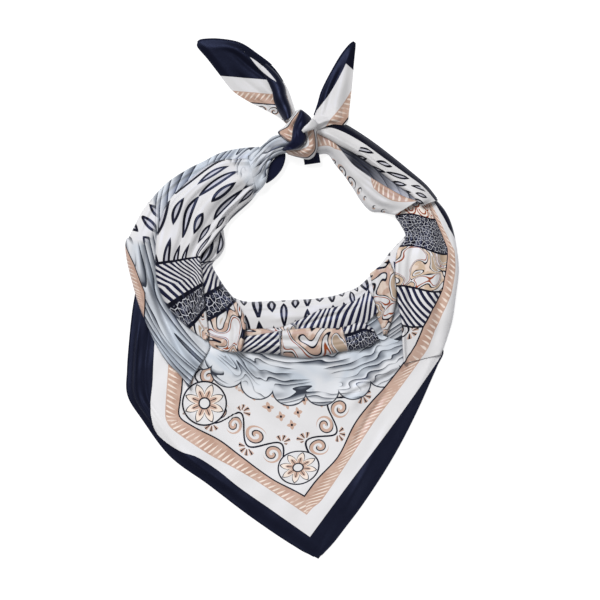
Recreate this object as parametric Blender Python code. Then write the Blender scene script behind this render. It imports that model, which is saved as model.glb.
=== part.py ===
"""Silk square scarf, 700 mm a side, folded to a triangle, gathered, tied and laid flat.

Every table is in millimetres.  +Y runs from the corner of the triangle to the knot, +X is the
right of the scarf as it lies, and z = 0 is the surface that it lies on.

Each stretch of cloth is a wall.  Its table has one row for each section across the stretch, and
each row has the same number of points (x, y, height) from the left or inner edge to the right or
outer edge.  A smooth surface runs through the points, FOLDS adds the pleats, and the edges that
are folds of the cloth are rounded down.  The stretches are laid in order, and each is lifted
where it would touch one that was laid before it.
"""
import math
import bpy
from mathutils import Vector
from mathutils.bvhtree import BVHTree

for old in list(bpy.data.objects):
    bpy.data.objects.remove(old, do_unlink=True)

MM = 0.001
WALL = 1.2          # thickness of a wall of cloth
GAP = 0.45          # clear space between two stretches
REACH = 0.9         # a stretch also clears what lies this far to its side
BASE = 0.0          # height of the surface below
MIDDLE = (0.05, 0.00)     # the middle of the tables' outline, moved to the origin

# ---------------------------------------------------------------- the stretches, a row per section
BACK_PANEL = [
    ((-148, 0, 0.6), (-128, -10, 0.6), (-121, -22, 0.6)),
    ((-152, -30, 0.6), (-120, -34, 0.6), (-98, -47, 0.6)),
    ((-154, -60, 0.6), (-110, -64, 0.6), (-75, -68, 0.6)),
    ((-153, -92, 0.6), (-90, -90, 0.6), (-30, -79, 0.6)),
    ((-138, -115, 0.6), (-50, -106, 0.6), (20, -80, 0.6)),
    ((-113, -149, 0.6), (-20, -128, 0.6), (70, -72, 0.6)),
    ((-79, -175, 0.6), (10, -142, 0.6), (108, -56, 0.6)),
    ((-49, -198, 0.6), (30, -156, 0.6), (139, -55, 0.6)),
    ((-14, -225, 0.6), (40, -178, 0.6), (113, -110, 0.6)),
    ((10, -241, 0.6), (30, -216, 0.6), (64, -195, 0.6)),
    ((21, -245, 0.6), (25, -246, 0.6), (29, -243, 0.6)),
]
# the core: inner (x, y), outer (x, y), height
HIDDEN_LAYERS = [
    (-14, 140, -12, 149, 7),
    (-28, 118, -33, 137, 10),
    (-38, 103, -62, 126, 12),
    (-57, 84, -88, 106, 14),
    (-71, 67, -110, 74, 15),
    (-78, 50, -117, 50, 15),
    (-80, 32, -117, 22, 15),
    (-73, 12, -108, -8, 15),
    (-58, -5, -92, -42, 15),
    (-38, -7, -62, -63, 15),
    (-12, -7, -24, -73, 15),
    (18, -6, 16, -75, 15),
    (48, 0, 60, -68, 15),
    (73, 13, 100, -50, 14),
    (92, 34, 133, -22, 12),
    (104, 54, 148, 20, 11),
    (104, 72, 147, 62, 10),
    (98, 85, 130, 92, 9),
    (78, 97, 98, 116, 8),
    (62, 117, 72, 138, 7),
    (48, 134, 52, 152, 6),
    (33, 147, 33, 158, 5),
]
LEFT_BACK_STRIP = [
    ((-31, 145, 10), (-33, 136, 12), (-36, 129, 10)),
    ((-50, 143.5, 5), (-52, 136, 9), (-53, 129, 8)),
    ((-68, 139.5, 4), (-71, 131, 8), (-73, 121, 6)),
    ((-84, 131.5, 4), (-85, 122, 8), (-84, 113, 6)),
    ((-100, 123.5, 4), (-99, 114, 8), (-96, 104, 6)),
    ((-120, 110, 4), (-114, 101, 8), (-107, 93, 6)),
    ((-140, 88, 4), (-129, 83, 8), (-117, 77, 6)),
    ((-150, 70, 4), (-136, 66, 8), (-121, 63, 6)),
    ((-158, 54, 4), (-140, 49, 8), (-122, 46, 6)),
]
FRONT_PANEL = [
    ((-148, 12, 3.5), (-112, -14, 5), (-60, -38, 16.5), (5, -38, 17),
     (70, -32, 16), (104, -40, 12), (137, -38, 4)),
    ((-152, -12, 3), (-122, -28, 5), (-70, -50, 16), (5, -52, 16.5),
     (75, -46, 15), (110, -52, 8), (144, -50, 3.5)),
    ((-155, -40, 3), (-126, -48, 5), (-82, -66, 12), (5, -66, 14),
     (72, -60, 13), (108, -66, 6.5), (138.5, -63, 3.5)),
    ((-157, -68, 3), (-128, -74, 4.5), (-84, -84, 7), (5, -80, 10),
     (70, -76, 9), (102, -80, 5.5), (131, -80, 3.5)),
    ((-156.5, -92, 3), (-124, -96, 4), (-80, -100, 5.5), (5, -96, 7.5),
     (62, -93, 7.5), (94, -96, 5), (123.5, -97, 3.5)),
    ((-142.5, -115, 3), (-112, -116, 4), (-70, -117, 4.5), (7, -114, 5.5),
     (55, -112, 5.5), (82, -115, 4.5), (112.5, -120, 3.2)),
    ((-116, -150, 2.6), (-90, -143, 3.6), (-55, -138, 3.8), (10, -134, 4),
     (48, -134, 4.2), (70, -138, 4), (99, -145.5, 3)),
    ((-80, -176.5, 2.5), (-58, -170, 3.2), (-30, -163, 3.4), (13, -158, 3.4),
     (43, -158, 3.6), (60, -162, 3.6), (83, -172, 2.8)),
    ((-50, -199.5, 2.4), (-32, -194, 3), (-12, -189, 3.2), (16, -186, 3.2),
     (38, -186, 3.4), (50, -190, 3.2), (65.5, -198, 2.6)),
    ((-25, -217.5, 2.3), (-12, -214, 2.8), (3, -211, 3), (19, -209, 3),
     (32, -209, 3), (40, -212, 3), (51.5, -216.5, 2.5)),
    ((0, -234, 2.2), (7, -232, 2.6), (14, -230, 2.8), (22, -229, 2.8),
     (29, -229, 2.8), (34, -230, 2.6), (39.5, -232, 2.3)),
    ((18, -245.5, 2), (20, -246.2, 2.2), (22, -247, 2.4), (25, -248, 2.4),
     (27, -246.8, 2.4), (28.5, -245.8, 2.2), (30, -244.5, 2)),
]
LEFT_DRAPE = [
    ((-157.5, 58, 11), (-146, 56, 14), (-136, 52, 13), (-124, 48, 10)),
    ((-159, 50, 10), (-147, 44, 14), (-135, 38, 12), (-122, 34, 10)),
    ((-157, 34, 10), (-145, 29, 14), (-133, 23, 11), (-118, 18, 10)),
    ((-152, 14, 10), (-140, 10, 14), (-127, 5, 11), (-111, 2, 10)),
    ((-146, -6, 10), (-134, -8, 14), (-120, -12, 11), (-103, -12, 12)),
    ((-139, -23, 10), (-128, -24, 14), (-112, -27, 12), (-93, -25, 13)),
    ((-130.5, -42, 10), (-121, -40, 14), (-106, -38, 13), (-84, -34, 15)),
    ((-119, -60, 9), (-111, -55, 13), (-99, -50, 13), (-78, -44, 16)),
    ((-107, -72, 8), (-102, -67, 11), (-95, -61, 12), (-82, -54, 15)),
    ((-98.5, -84.5, 6), (-96.5, -80, 8), (-94, -74, 9), (-89, -64, 12)),
]
NECK_ROLL = [
    ((-60, 3, 12), (-57, -8, 17), (-54, -26, 16)),
    ((-44, -2.5, 11), (-42, -13, 17), (-40, -33, 16)),
    ((-20, -2, 10), (-19, -12, 17), (-17, -32, 16)),
    ((0, -1, 10), (0, -10, 17), (0, -29, 16)),
    ((20, 0, 10), (20, -9, 17), (20, -28, 16)),
    ((40, 3, 10), (41, -5, 17), (42, -22, 16)),
    ((55, 8, 10), (57, 1, 16), (60, -14, 15)),
    ((65, 13, 10), (69, 6, 15), (74, -8, 14)),
    ((82.5, 30, 10), (87, 20, 14), (92, 6, 13)),
    ((93.5, 44.5, 9), (100, 33, 13), (106, 18, 12)),
    ((109, 61, 9), (114, 49, 12), (121, 34, 11)),
]
RIGHT_SHOULDER = [
    ((102, 93, 8), (112, 97, 10), (124, 100, 10), (135, 97, 7)),
    ((98.5, 80, 8), (110, 83, 13), (128, 84, 12), (146, 84, 8)),
    ((103.5, 71, 8), (115, 71, 14), (134, 69, 12), (153, 68, 8)),
    ((108, 59, 9), (119, 56, 15), (138, 51, 12), (157.5, 45, 8)),
    ((100, 45, 13), (114, 42, 16), (136, 33, 13), (159, 26, 8)),
    ((98, 22, 15), (112, 20, 15), (134, 13, 13), (156.5, 5, 8)),
    ((100, 0, 16), (112, -1, 14), (132, -9, 12), (153.5, -17, 8)),
    ((104, -22, 15), (114, -23, 13), (131, -28, 9), (149.5, -33, 5)),
    ((105, -42, 13), (113, -43, 10), (127, -45, 6), (144.5, -47, 4)),
    ((106.5, -62, 8), (113, -60, 6), (125, -57, 4), (141.5, -53, 3)),
]
RIGHT_STRIPE_FOLD = [
    ((74, 24, 15), (83, 31, 18), (92, 38, 15)),
    ((77, 10, 17), (87, 18, 20), (97, 24, 16)),
    ((78, -5, 18), (89, 1, 21), (99, 4, 17)),
    ((80, -15, 18), (89, -11, 20), (97, -11, 17)),
    ((84, -25, 16), (89, -23, 18), (93.5, -24, 15)),
    ((87, -34, 13), (88.5, -33.5, 14), (90, -34, 13)),
]
UPPER_ROLL = [
    ((-50, -29, 19), (-49, -34, 20), (-48, -41, 18)),
    ((-20, -28, 19), (-18, -33, 21), (-16, -42, 19)),
    ((-8, -26, 19), (-3, -31, 21), (0, -41, 19)),
    ((10, -18.5, 19), (12, -25, 22), (14, -40, 19)),
    ((28, -10, 19), (29, -19, 22), (30, -38, 19)),
    ((40, -8, 19), (43, -16, 22), (46, -36, 19)),
    ((60, -1.5, 18), (63, -10, 21), (66, -26, 18)),
    ((73, 9, 17), (77, 0, 20), (82, -12, 17)),
]
LOWER_ROLL = [
    ((-52, -35, 22), (-52, -42, 23), (-52, -50, 18)),
    ((-40, -35, 22), (-40, -43, 25), (-40, -50.5, 17)),
    ((-20, -32, 22), (-19, -42, 26), (-18, -52, 17)),
    ((0, -29, 22), (0, -42, 26), (0, -55, 16)),
    ((20, -27.5, 22), (20, -41, 26), (20, -55.5, 16)),
    ((40, -28, 22), (42, -40, 26), (44, -50.5, 17)),
    ((55, -25, 21), (58, -37, 25), (61, -48, 17)),
    ((66, -22, 20), (70, -33, 23), (74, -44.5, 16)),
    ((77, -28, 18), (80, -34, 19), (83, -39, 15)),
]
LEFT_SHOULDER = [
    ((-30, 106, 9), (-33, 115, 15), (-36, 125, 15), (-40, 133, 11)),
    ((-40, 93, 9), (-47, 105, 18), (-60, 119, 18), (-72, 131, 11)),
    ((-58, 76.5, 9), (-67, 87, 19), (-84, 103, 20), (-100, 111.5, 11)),
    ((-66, 66, 9), (-77, 73, 19), (-98, 86, 20), (-120, 89, 11)),
    ((-75, 55, 12), (-87, 58, 21), (-104, 61, 21), (-128.5, 62, 11)),
    ((-86, 41, 17), (-96, 40, 22), (-111, 38, 21), (-130, 36, 12)),
    ((-85.5, 26, 18), (-94, 24, 22), (-108, 20, 21), (-128, 14, 13)),
    ((-84, 10, 19), (-91, 7, 23), (-102, 2, 21), (-119, -7, 14)),
    ((-82, -8, 20), (-87, -11, 22), (-94, -16, 20), (-105, -21.5, 15)),
    ((-80, -24, 20), (-83, -26, 21), (-87, -29, 19), (-92, -32.5, 16)),
    ((-79, -36, 19), (-80, -37, 19), (-81, -38, 18), (-82.5, -39, 17)),
]
LEFT_INNER_FOLD = [
    ((-65.5, 66, 8), (-72, 67, 11), (-80, 68, 12)),
    ((-64, 52, 8), (-73, 52, 16), (-88, 52, 15)),
    ((-68, 42, 8), (-78, 41, 16), (-94, 40, 16)),
    ((-76, 33, 9), (-84, 32.5, 17), (-96, 32, 16)),
    ((-71, 22, 10), (-82, 20, 18), (-96, 17, 17)),
    ((-64, 11, 11), (-76, 8, 19), (-92, 4, 17)),
    ((-55, 0, 13), (-68, -6, 20), (-88, -13, 18)),
    ((-48, -10, 17), (-60, -17, 21), (-82, -25, 18)),
    ((-44, -22, 20), (-56, -29, 22), (-79, -36, 18)),
    ((-45, -36, 20), (-56, -40, 22), (-77, -44, 17)),
    ((-48, -49, 18), (-55, -50.5, 19), (-66, -49.5, 17)),
]
RIGHT_INNER_FOLD = [
    ((35, 154, 8), (36, 149, 9), (38, 144, 8)),
    ((50, 147, 6), (50, 141, 8), (50, 134, 6)),
    ((62, 140, 6), (61, 132, 6), (60, 123, 6)),
    ((78, 129, 6), (76, 122, 7), (74, 114, 6)),
    ((95, 116, 7), (92, 109, 9), (89, 102, 7)),
    ((111, 104, 9), (108, 99, 11), (105, 94, 9)),
    ((123, 96, 10), (120, 92, 12), (117, 88, 10)),
]
RIGHT_LOWER_LEAF = [
    ((22, 137, 10), (22.5, 147, 14), (23, 160, 12)),
    ((34, 138, 6), (36, 144, 10), (38, 151, 9)),
    ((41.5, 128, 5), (44.5, 134, 9), (48, 140, 8)),
    ((50.5, 117, 5), (54, 123, 10), (58, 128, 8)),
    ((59, 104.5, 5), (64, 112, 11), (70, 119, 9)),
    ((65.5, 94, 5), (72, 104, 12), (80, 112.5, 9)),
    ((75, 84, 5), (83, 95, 12), (91, 106, 9)),
    ((86, 82.5, 6), (95, 90, 12), (105, 98, 10)),
    ((98, 80, 9), (108, 86, 14), (119, 93, 11)),
]
RIGHT_UPPER_LEAF = [
    ((22, 165, 12), (23, 162, 14), (24, 157.5, 11)),
    ((37, 169.2, 7), (35.5, 161.5, 13), (34, 152.5, 9)),
    ((50, 166.5, 6), (48, 156, 13), (46, 145.5, 9)),
    ((70, 154.5, 6), (66, 145, 14), (62, 137, 10)),
    ((91, 139, 6), (85, 130, 14), (80, 124, 10)),
    ((112, 122, 7), (105, 115, 14), (99, 109, 11)),
    ((128, 108, 9), (120, 103.5, 15), (113, 99, 12)),
    ((139, 94, 12), (130, 91, 16), (123, 88, 13)),
]
LEFT_TAB = [
    ((-13, 139, 9), (-7, 140, 9)),
    ((-17, 133.5, 10), (-7, 133.5, 8)),
    ((-21.5, 127, 11), (-10, 124.5, 7)),
    ((-24, 118, 11), (-17, 115.8, 7)),
    ((-26, 111.5, 9), (-24.5, 110.5, 7)),
]
LEFT_GATHER = [
    ((-2, 156.5, 15), (-2, 148, 19), (-2, 140, 15)),
    ((-17, 155.5, 10), (-16, 147, 19), (-14.5, 136, 12)),
    ((-25, 149, 10), (-24, 139, 19), (-21.5, 127, 12)),
    ((-33, 142, 11), (-31, 131, 18), (-25, 111, 12)),
    ((-42.5, 135.5, 11), (-38, 121, 17), (-33, 101, 12)),
]
RIGHT_EAR = [
    ((15, 166, 14), (19, 163, 15), (23, 160, 13)),
    ((20, 173, 10), (29, 170, 10), (38, 166, 7)),
    ((22, 178, 8), (37, 174.5, 8), (51.5, 166.5, 3)),
    ((25, 187, 7), (39, 184, 6), (54.3, 179, 2.5)),
    ((28.2, 198, 6), (42, 196, 4.5), (56, 193, 2.5)),
    ((35.5, 213, 6), (47, 212, 4), (57.8, 210.5, 2)),
    ((45.5, 230.5, 5), (53, 228, 3.5), (59.2, 226, 1.6)),
    ((52.5, 240, 4), (57, 238, 3), (60.2, 236, 1.3)),
    ((57.5, 245, 2), (59.5, 244, 1.6), (60.8, 241, 1.2)),
]
LEFT_EAR = [
    ((4, 176, 14), (0, 171, 15), (-4, 166, 12)),
    ((0, 189, 9), (-7, 182, 8), (-14, 174.3, 6)),
    ((-5, 202, 7), (-16, 192, 5), (-27, 181.2, 4)),
    ((-16.5, 220, 6), (-30, 205, 4), (-44, 190, 2.5)),
    ((-33, 233.5, 6), (-45, 217, 3.5), (-57.5, 199.5, 2)),
    ((-50, 244.3, 6), (-59, 230, 3), (-69.5, 214.5, 1.6)),
    ((-70, 248, 4.5), (-75, 238, 2.6), (-80.5, 228.7, 1.4)),
    ((-87.5, 247, 2), (-89.5, 244.5, 1.8), (-90.8, 241, 1.2)),
]
LEFT_EAR_TURN = [
    ((-7, 169, 14), (-4, 171, 15), (-0.5, 173, 14)),
    ((-12, 177, 9), (-7, 179, 12), (-1.5, 182, 11)),
    ((-17, 188, 8), (-11, 191, 11), (-5.5, 194, 9)),
    ((-19, 198, 7), (-13.5, 201, 9), (-7.5, 204, 7)),
    ((-24, 209, 7), (-19, 211.5, 8), (-14, 214.5, 7)),
    ((-31, 219, 7), (-28, 221.5, 7.5), (-24.5, 224.5, 7)),
]
KNOT_LEFT_WRAP = [
    ((5, 180, 17), (9, 179.5, 20), (12, 177, 19)),
    ((-2, 171, 16), (2, 170, 22), (7, 168, 23)),
    ((-7, 164.5, 15), (-2, 163, 21), (4, 162, 23)),
    ((-13.5, 159, 14), (-6, 158, 21), (3, 157, 23)),
    ((-9, 153.5, 15), (-4, 153, 21), (3, 152, 23)),
    ((-2, 149, 18), (0, 149, 21), (4, 149, 22)),
]
KNOT_UNDER_CORNER = [
    ((10.5, 137, 9), (12, 128.5, 5)),
    ((18, 139, 10), (20, 129.5, 5)),
    ((25.5, 139, 8), (27, 130.5, 5)),
]
KNOT_LOWER_LOOP = [
    ((12, 160, 22), (15.5, 159.5, 24), (19.5, 158, 17)),
    ((13, 153, 23), (18, 151.5, 24), (23.5, 150, 15)),
    ((12, 147.5, 23), (18, 144, 24), (23.5, 140, 14)),
    ((5, 147, 22), (11, 140, 23), (17, 133, 14)),
    ((0, 145.5, 21), (4, 140, 22), (7, 134.5, 14)),
    ((-8, 143, 18), (-6, 140.5, 19), (-4, 137.8, 15)),
]
KNOT_TONGUE = [
    ((9.5, 160, 24), (10.5, 157.6, 24)),
    ((12.5, 163, 26), (15, 159, 26)),
    ((16, 166.5, 26), (20.5, 160.5, 24)),
    ((18.8, 170, 22), (23.8, 164, 20)),
    ((21.5, 169.8, 18), (24, 166.5, 17)),
]
KNOT_FRONT_WRAP = [
    ((8, 179.5, 22), (9.5, 179, 23), (11, 178, 21)),
    ((5, 172, 24), (11, 172, 27.5), (18.3, 171, 23)),
    ((2, 165, 25), (8, 164.5, 28.5), (15, 164.5, 26)),
    ((0.5, 158.5, 25), (6, 158, 28.5), (12.5, 158, 26)),
    ((0, 152, 25), (6, 152, 28.5), (13, 152.5, 26)),
    ((-2, 147.5, 24), (3, 147, 27), (9, 146, 25)),
    ((-7, 143, 21), (-3, 142.8, 23), (1.5, 142.3, 22)),
    ((-9.5, 140.5, 18), (-8, 140.3, 19), (-6.5, 140.8, 18)),
]

# pleats and creases: across at the start and end (0 to 1), along from and to (0 to 1),
# half width in mm, height in mm (a trough is negative)
FOLDS = {
    "left_shoulder": [
        (0.14, 0.10, 0.02, 0.60, 3.0, -1.5),
        (0.30, 0.30, 0.00, 0.55, 4.0, -2.4),
        (0.50, 0.50, 0.00, 0.70, 4.5, 1.6),
        (0.66, 0.62, 0.02, 0.80, 4.5, -2.6),
        (0.84, 0.80, 0.05, 0.90, 4.0, 1.4),
    ],
    "left_inner_fold": [
        (0.34, 0.40, 0.02, 0.40, 2.6, -2.2),
        (0.55, 0.60, 0.35, 0.98, 4.0, -2.0),
        (0.25, 0.30, 0.55, 0.98, 3.0, -1.2),
    ],
    "left_drape": [
        (0.22, 0.26, 0.02, 0.95, 3.0, -2.2),
        (0.40, 0.42, 0.00, 0.90, 3.0, 1.2),
        (0.55, 0.55, 0.00, 0.90, 3.0, -2.6),
        (0.78, 0.74, 0.05, 0.90, 3.5, -1.6),
    ],
    "left_back_strip": [(0.42, 0.50, 0.05, 0.95, 3.0, -1.8), (0.72, 0.74, 0.02, 0.80, 2.6, 1.0)],
    "front_panel": [
        (0.20, 0.36, 0.08, 0.55, 7.0, 1.6),
        (0.30, 0.44, 0.10, 0.60, 6.0, -1.5),
        (0.70, 0.62, 0.08, 0.45, 6.0, 1.4),
        (0.82, 0.72, 0.30, 0.60, 5.0, -1.2),
    ],
    "neck_roll": [(0.45, 0.50, 0.05, 0.45, 3.0, -1.3), (0.60, 0.40, 0.45, 0.95, 3.0, -1.1)],
    "upper_roll": [(0.45, 0.50, 0.10, 0.90, 2.4, -1.0)],
    "lower_roll": [(0.25, 0.65, 0.04, 0.55, 3.2, -1.8), (0.65, 0.30, 0.45, 0.97, 3.2, -1.5)],
    "right_stripe_fold": [(0.35, 0.40, 0.05, 0.90, 2.6, -1.4), (0.70, 0.66, 0.05, 0.90, 2.6, -1.0)],
    "right_shoulder": [
        (0.30, 0.35, 0.05, 0.85, 4.5, -2.2),
        (0.62, 0.60, 0.02, 0.80, 5.0, 1.2),
        (0.78, 0.80, 0.05, 0.95, 4.0, -1.6),
    ],
    "right_inner_fold": [
        (0.30, 0.34, 0.05, 0.95, 2.4, -1.8),
        (0.68, 0.62, 0.05, 0.95, 2.4, -1.6),
    ],
    "right_upper_leaf": [(0.60, 0.55, 0.05, 0.90, 3.0, -1.8), (0.32, 0.30, 0.00, 0.50, 2.6, -1.0)],
    "right_lower_leaf": [
        (0.34, 0.30, 0.10, 0.95, 3.0, -1.6),
        (0.58, 0.60, 0.12, 0.95, 2.6, -1.6),
        (0.80, 0.80, 0.12, 0.95, 2.4, -1.4),
    ],
    "left_gather": [
        (0.20, 0.22, 0.08, 0.97, 2.2, -1.5),
        (0.40, 0.42, 0.05, 0.97, 2.2, -2.0),
        (0.60, 0.62, 0.05, 0.97, 2.2, -1.6),
        (0.80, 0.80, 0.10, 0.97, 2.2, -1.7),
    ],
    "left_ear": [(0.34, 0.35, 0.00, 0.75, 3.0, -1.2), (0.72, 0.60, 0.00, 0.60, 2.6, -1.0)],
    "right_ear": [(0.30, 0.35, 0.00, 0.70, 3.5, -1.8), (0.62, 0.62, 0.00, 0.60, 3.5, 1.2)],
}

# folds that lie over the cloth beside them, in plan: from (x, y) to (x, y), height of the step,
# and how far to the left of the line it takes to die away, all in mm
STEPS = {
    "front_panel": [
        (38, -97, 110, -62, 3.4, 20.0),
        (-86, -50, -104, -96, 2.0, 16.0),
    ],
    "left_drape": [(-128, 40, -98, -82, 1.6, 9.0)],
    "right_shoulder": [(99, 78, 108, 96, 1.6, 10.0)],
}
STEP_WIDTH = 4.0    # the width of the steep side of such a fold

# rounded edges: (radius, fall) in mm at the first edge, the last edge, the start and the end
FLAT = (0.0, 0.0)
EDGES = {
    "left_inner_fold": ((6, 5.0), FLAT, FLAT, (4, 3.0)),
    "right_inner_fold": ((3, 2.0), (3, 2.0), FLAT, FLAT),
    "left_back_strip": ((7, 3.0), FLAT, FLAT, FLAT),
    "left_drape": ((6, 8.0), (5, 3.0), FLAT, (4, 3.0)),
    "neck_roll": ((7, 7.5), FLAT, FLAT, FLAT),
    "right_shoulder": ((5, 4.5), (7, 4.5), FLAT, FLAT),
    "right_stripe_fold": ((4, 3.0), (4, 3.0), FLAT, FLAT),
    "upper_roll": ((4, 2.5), FLAT, FLAT, FLAT),
    "lower_roll": ((5, 3.0), (5, 4.0), FLAT, (3, 2.0)),
    "left_shoulder": ((6, 5.5), (7, 6.5), FLAT, (4, 3.0)),
    "right_lower_leaf": ((5, 3.5), (4, 2.0), FLAT, FLAT),
    "right_upper_leaf": ((5, 4.5), (5, 4.0), FLAT, FLAT),
    "left_gather": ((5, 4.0), (5, 4.5), FLAT, FLAT),
    "left_ear_turn": ((3, 2.0), (4, 4.0), FLAT, FLAT),
    "knot_left_wrap": ((5, 6.0), FLAT, (3, 3.0), FLAT),
    "knot_lower_loop": (FLAT, (4, 5.0), FLAT, FLAT),
    "knot_tongue": ((3, 2.0), (3, 2.5), FLAT, (3, 3.0)),
    "knot_front_wrap": ((3, 3.0), (4, 4.0), (3, 4.0), (3, 4.0)),
}

# the order in which the stretches are laid: name, table, cells along, cells across
LAID = [
    ("back_panel", BACK_PANEL, 12, 5),
    ("left_back_strip", LEFT_BACK_STRIP, 14, 5),
    ("front_panel", FRONT_PANEL, 22, 20),
    ("left_drape", LEFT_DRAPE, 15, 8),
    ("neck_roll", NECK_ROLL, 18, 7),
    ("right_shoulder", RIGHT_SHOULDER, 16, 9),
    ("right_stripe_fold", RIGHT_STRIPE_FOLD, 9, 6),
    ("upper_roll", UPPER_ROLL, 14, 5),
    ("lower_roll", LOWER_ROLL, 16, 7),
    ("left_inner_fold", LEFT_INNER_FOLD, 18, 7),
    ("left_shoulder", LEFT_SHOULDER, 20, 11),
    ("right_inner_fold", RIGHT_INNER_FOLD, 12, 7),
    ("right_lower_leaf", RIGHT_LOWER_LEAF, 15, 8),
    ("right_upper_leaf", RIGHT_UPPER_LEAF, 15, 8),
    ("left_tab", LEFT_TAB, 6, 4),
    ("left_gather", LEFT_GATHER, 9, 9),
    ("right_ear", RIGHT_EAR, 13, 8),
    ("left_ear", LEFT_EAR, 13, 8),
    ("left_ear_turn", LEFT_EAR_TURN, 9, 5),
    ("knot_under_corner", KNOT_UNDER_CORNER, 4, 4),
    ("knot_left_wrap", KNOT_LEFT_WRAP, 9, 6),
    ("knot_lower_loop", KNOT_LOWER_LOOP, 11, 6),
    ("knot_tongue", KNOT_TONGUE, 7, 5),
    ("knot_front_wrap", KNOT_FRONT_WRAP, 12, 7),
]

COLOURS = {
    "navy": (0.010, 0.012, 0.027, 1.0),
    "white": (0.76, 0.75, 0.76, 1.0),
    "grey": (0.42, 0.47, 0.52, 1.0),
    "peach": (0.68, 0.45, 0.33, 1.0),
}
NAVY_NODES = ("left_tab", "knot_front_wrap", "knot_under_corner", "left_ear_turn", "back_panel")
GREY_NODES = ("left_drape", "left_back_strip", "left_gather", "hidden_layers", "right_inner_fold")
PEACH_NODES = ("knot_left_wrap", "right_lower_leaf")


# ---------------------------------------------------------------- surfaces
def spline(points, u):
    """The point at u (0 to 1) of a smooth curve through a list of tuples."""
    last = len(points) - 1
    place = min(max(u, 0.0), 1.0) * last
    k = min(int(place), last - 1)
    f = place - k
    p1 = points[k]
    p2 = points[k + 1]
    p0 = points[k - 1] if k > 0 else tuple(2 * a - b for a, b in zip(p1, p2))
    p3 = points[k + 2] if k + 2 <= last else tuple(2 * b - a for a, b in zip(p1, p2))
    return tuple(
        0.5 * (2 * b + (c - a) * f + (2 * a - 5 * b + 4 * c - d) * f * f
               + (3 * b - a - 3 * c + d) * f ** 3)
        for a, b, c, d in zip(p0, p1, p2, p3))


def rounded(distance, radius, fall):
    """How far an edge of this radius has come down at this distance inside it."""
    if radius <= 0.0 or distance >= radius:
        return 0.0
    f = 1.0 - distance / radius
    return fall * (1.0 - math.sqrt(max(0.0, 1.0 - f * f)))


def eased(u):
    """Even steps, drawn closer together near both ends."""
    return 0.45 * u + 0.55 * 0.5 * (1.0 - math.cos(math.pi * u))


def window(u, start, end):
    """1 inside a span and 0 outside it, with soft ends."""
    if u <= start or u >= end:
        return 0.0
    edge = 0.25 * (end - start)
    f = min(1.0, (u - start) / edge, (end - u) / edge)
    return f * f * (3 - 2 * f)


def stepped(x, y, x0, y0, x1, y1, height, fade):
    """How much a fold that lies over its neighbour raises the point (x, y)."""
    run = math.dist((x0, y0), (x1, y1))
    dx = (x1 - x0) / run
    dy = (y1 - y0) / run
    share = ((x - x0) * dx + (y - y0) * dy) / run
    left = (y - y0) * dx - (x - x0) * dy
    rise = min(max(left / STEP_WIDTH + 0.5, 0.0), 1.0)
    rise = rise * rise * (3 - 2 * rise)
    return height * rise * math.exp(-max(left, 0.0) / fade) * window(share, -0.02, 1.02)


def length(points):
    """The length of a run of points in plan."""
    return sum(math.dist(a[:2], b[:2]) for a, b in zip(points, points[1:]))


def surface(name, table, along, across):
    """The middle surface of a stretch: a grid of points in mm, rows along it."""
    edges = EDGES.get(name, (FLAT, FLAT, FLAT, FLAT))
    rails = list(zip(*table))
    grid = []
    for i in range(along + 1):
        u = eased(i / along)
        section = [spline(rail, u) for rail in rails]
        if len(section) == 2:
            a, b = section
            section = [a, tuple((p + q) / 2 for p, q in zip(a, b)), b]
        grid.append([spline(section, eased(j / across)) for j in range(across + 1)])
    widths = [length(row) for row in grid]
    lengths = [length([row[j] for row in grid]) for j in range(across + 1)]
    for i, row in enumerate(grid):
        u = eased(i / along)
        for j, (x, y, z) in enumerate(row):
            v = eased(j / across)
            for v0, v1, u0, u1, half, height in FOLDS.get(name, []):
                off = (v - v0 - (v1 - v0) * u) * widths[i] / half
                z += height * math.exp(-off * off) * window(u, u0, u1)
            for step in STEPS.get(name, []):
                z += stepped(x, y, *step)
            z -= rounded(v * widths[i], *edges[0])
            z -= rounded((1 - v) * widths[i], *edges[1])
            z -= rounded(u * lengths[j], *edges[2])
            z -= rounded((1 - u) * lengths[j], *edges[3])
            row[j] = (x, y, z)
    return grid


def slopes(grid):
    """How much thicker a wall measures straight down than across, at each point of a grid."""
    rows = len(grid)
    cols = len(grid[0])
    result = []
    for i in range(rows):
        row = []
        for j in range(cols):
            a = Vector(grid[min(i + 1, rows - 1)][j]) - Vector(grid[max(i - 1, 0)][j])
            b = Vector(grid[i][min(j + 1, cols - 1)]) - Vector(grid[i][max(j - 1, 0)])
            normal = a.cross(b)
            upright = abs(normal.z) / max(normal.length, 1e-9)
            row.append(1.0 / max(upright, 0.4))
        result.append(row)
    return result


def wall(grid, thickness, extra=0.0):
    """The faces and points of the wall round a middle surface; extra is added underneath."""
    rows = len(grid)
    cols = len(grid[0])
    scale = slopes(grid)
    top = []
    bottom = []
    for i in range(rows):
        for j in range(cols):
            x, y, z = grid[i][j]
            half = 0.5 * thickness * scale[i][j]
            top.append((x, y, z + half))
            bottom.append((x, y, max(z - half - extra * scale[i][j], BASE - extra)))
    points = top + bottom
    under = rows * cols
    quads = []
    for i in range(rows - 1):
        for j in range(cols - 1):
            a = i * cols + j
            quads.append((a, a + 1, a + cols + 1, a + cols))
            quads.append((under + a, under + a + cols, under + a + cols + 1, under + a + 1))
    rim = [j for j in range(cols)]
    rim += [i * cols + cols - 1 for i in range(1, rows)]
    rim += [(rows - 1) * cols + j for j in range(cols - 2, -1, -1)]
    rim += [i * cols for i in range(rows - 2, 0, -1)]
    for a, b in zip(rim, rim[1:] + rim[:1]):
        quads.append((a, under + a, under + b, b))
    faces = []
    for a, b, c, d in quads:
        faces.append((a, b, c))
        faces.append((a, c, d))
    return points, faces


# ---------------------------------------------------------------- laying one stretch on the others
laid_points = []
laid_faces = []


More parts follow.
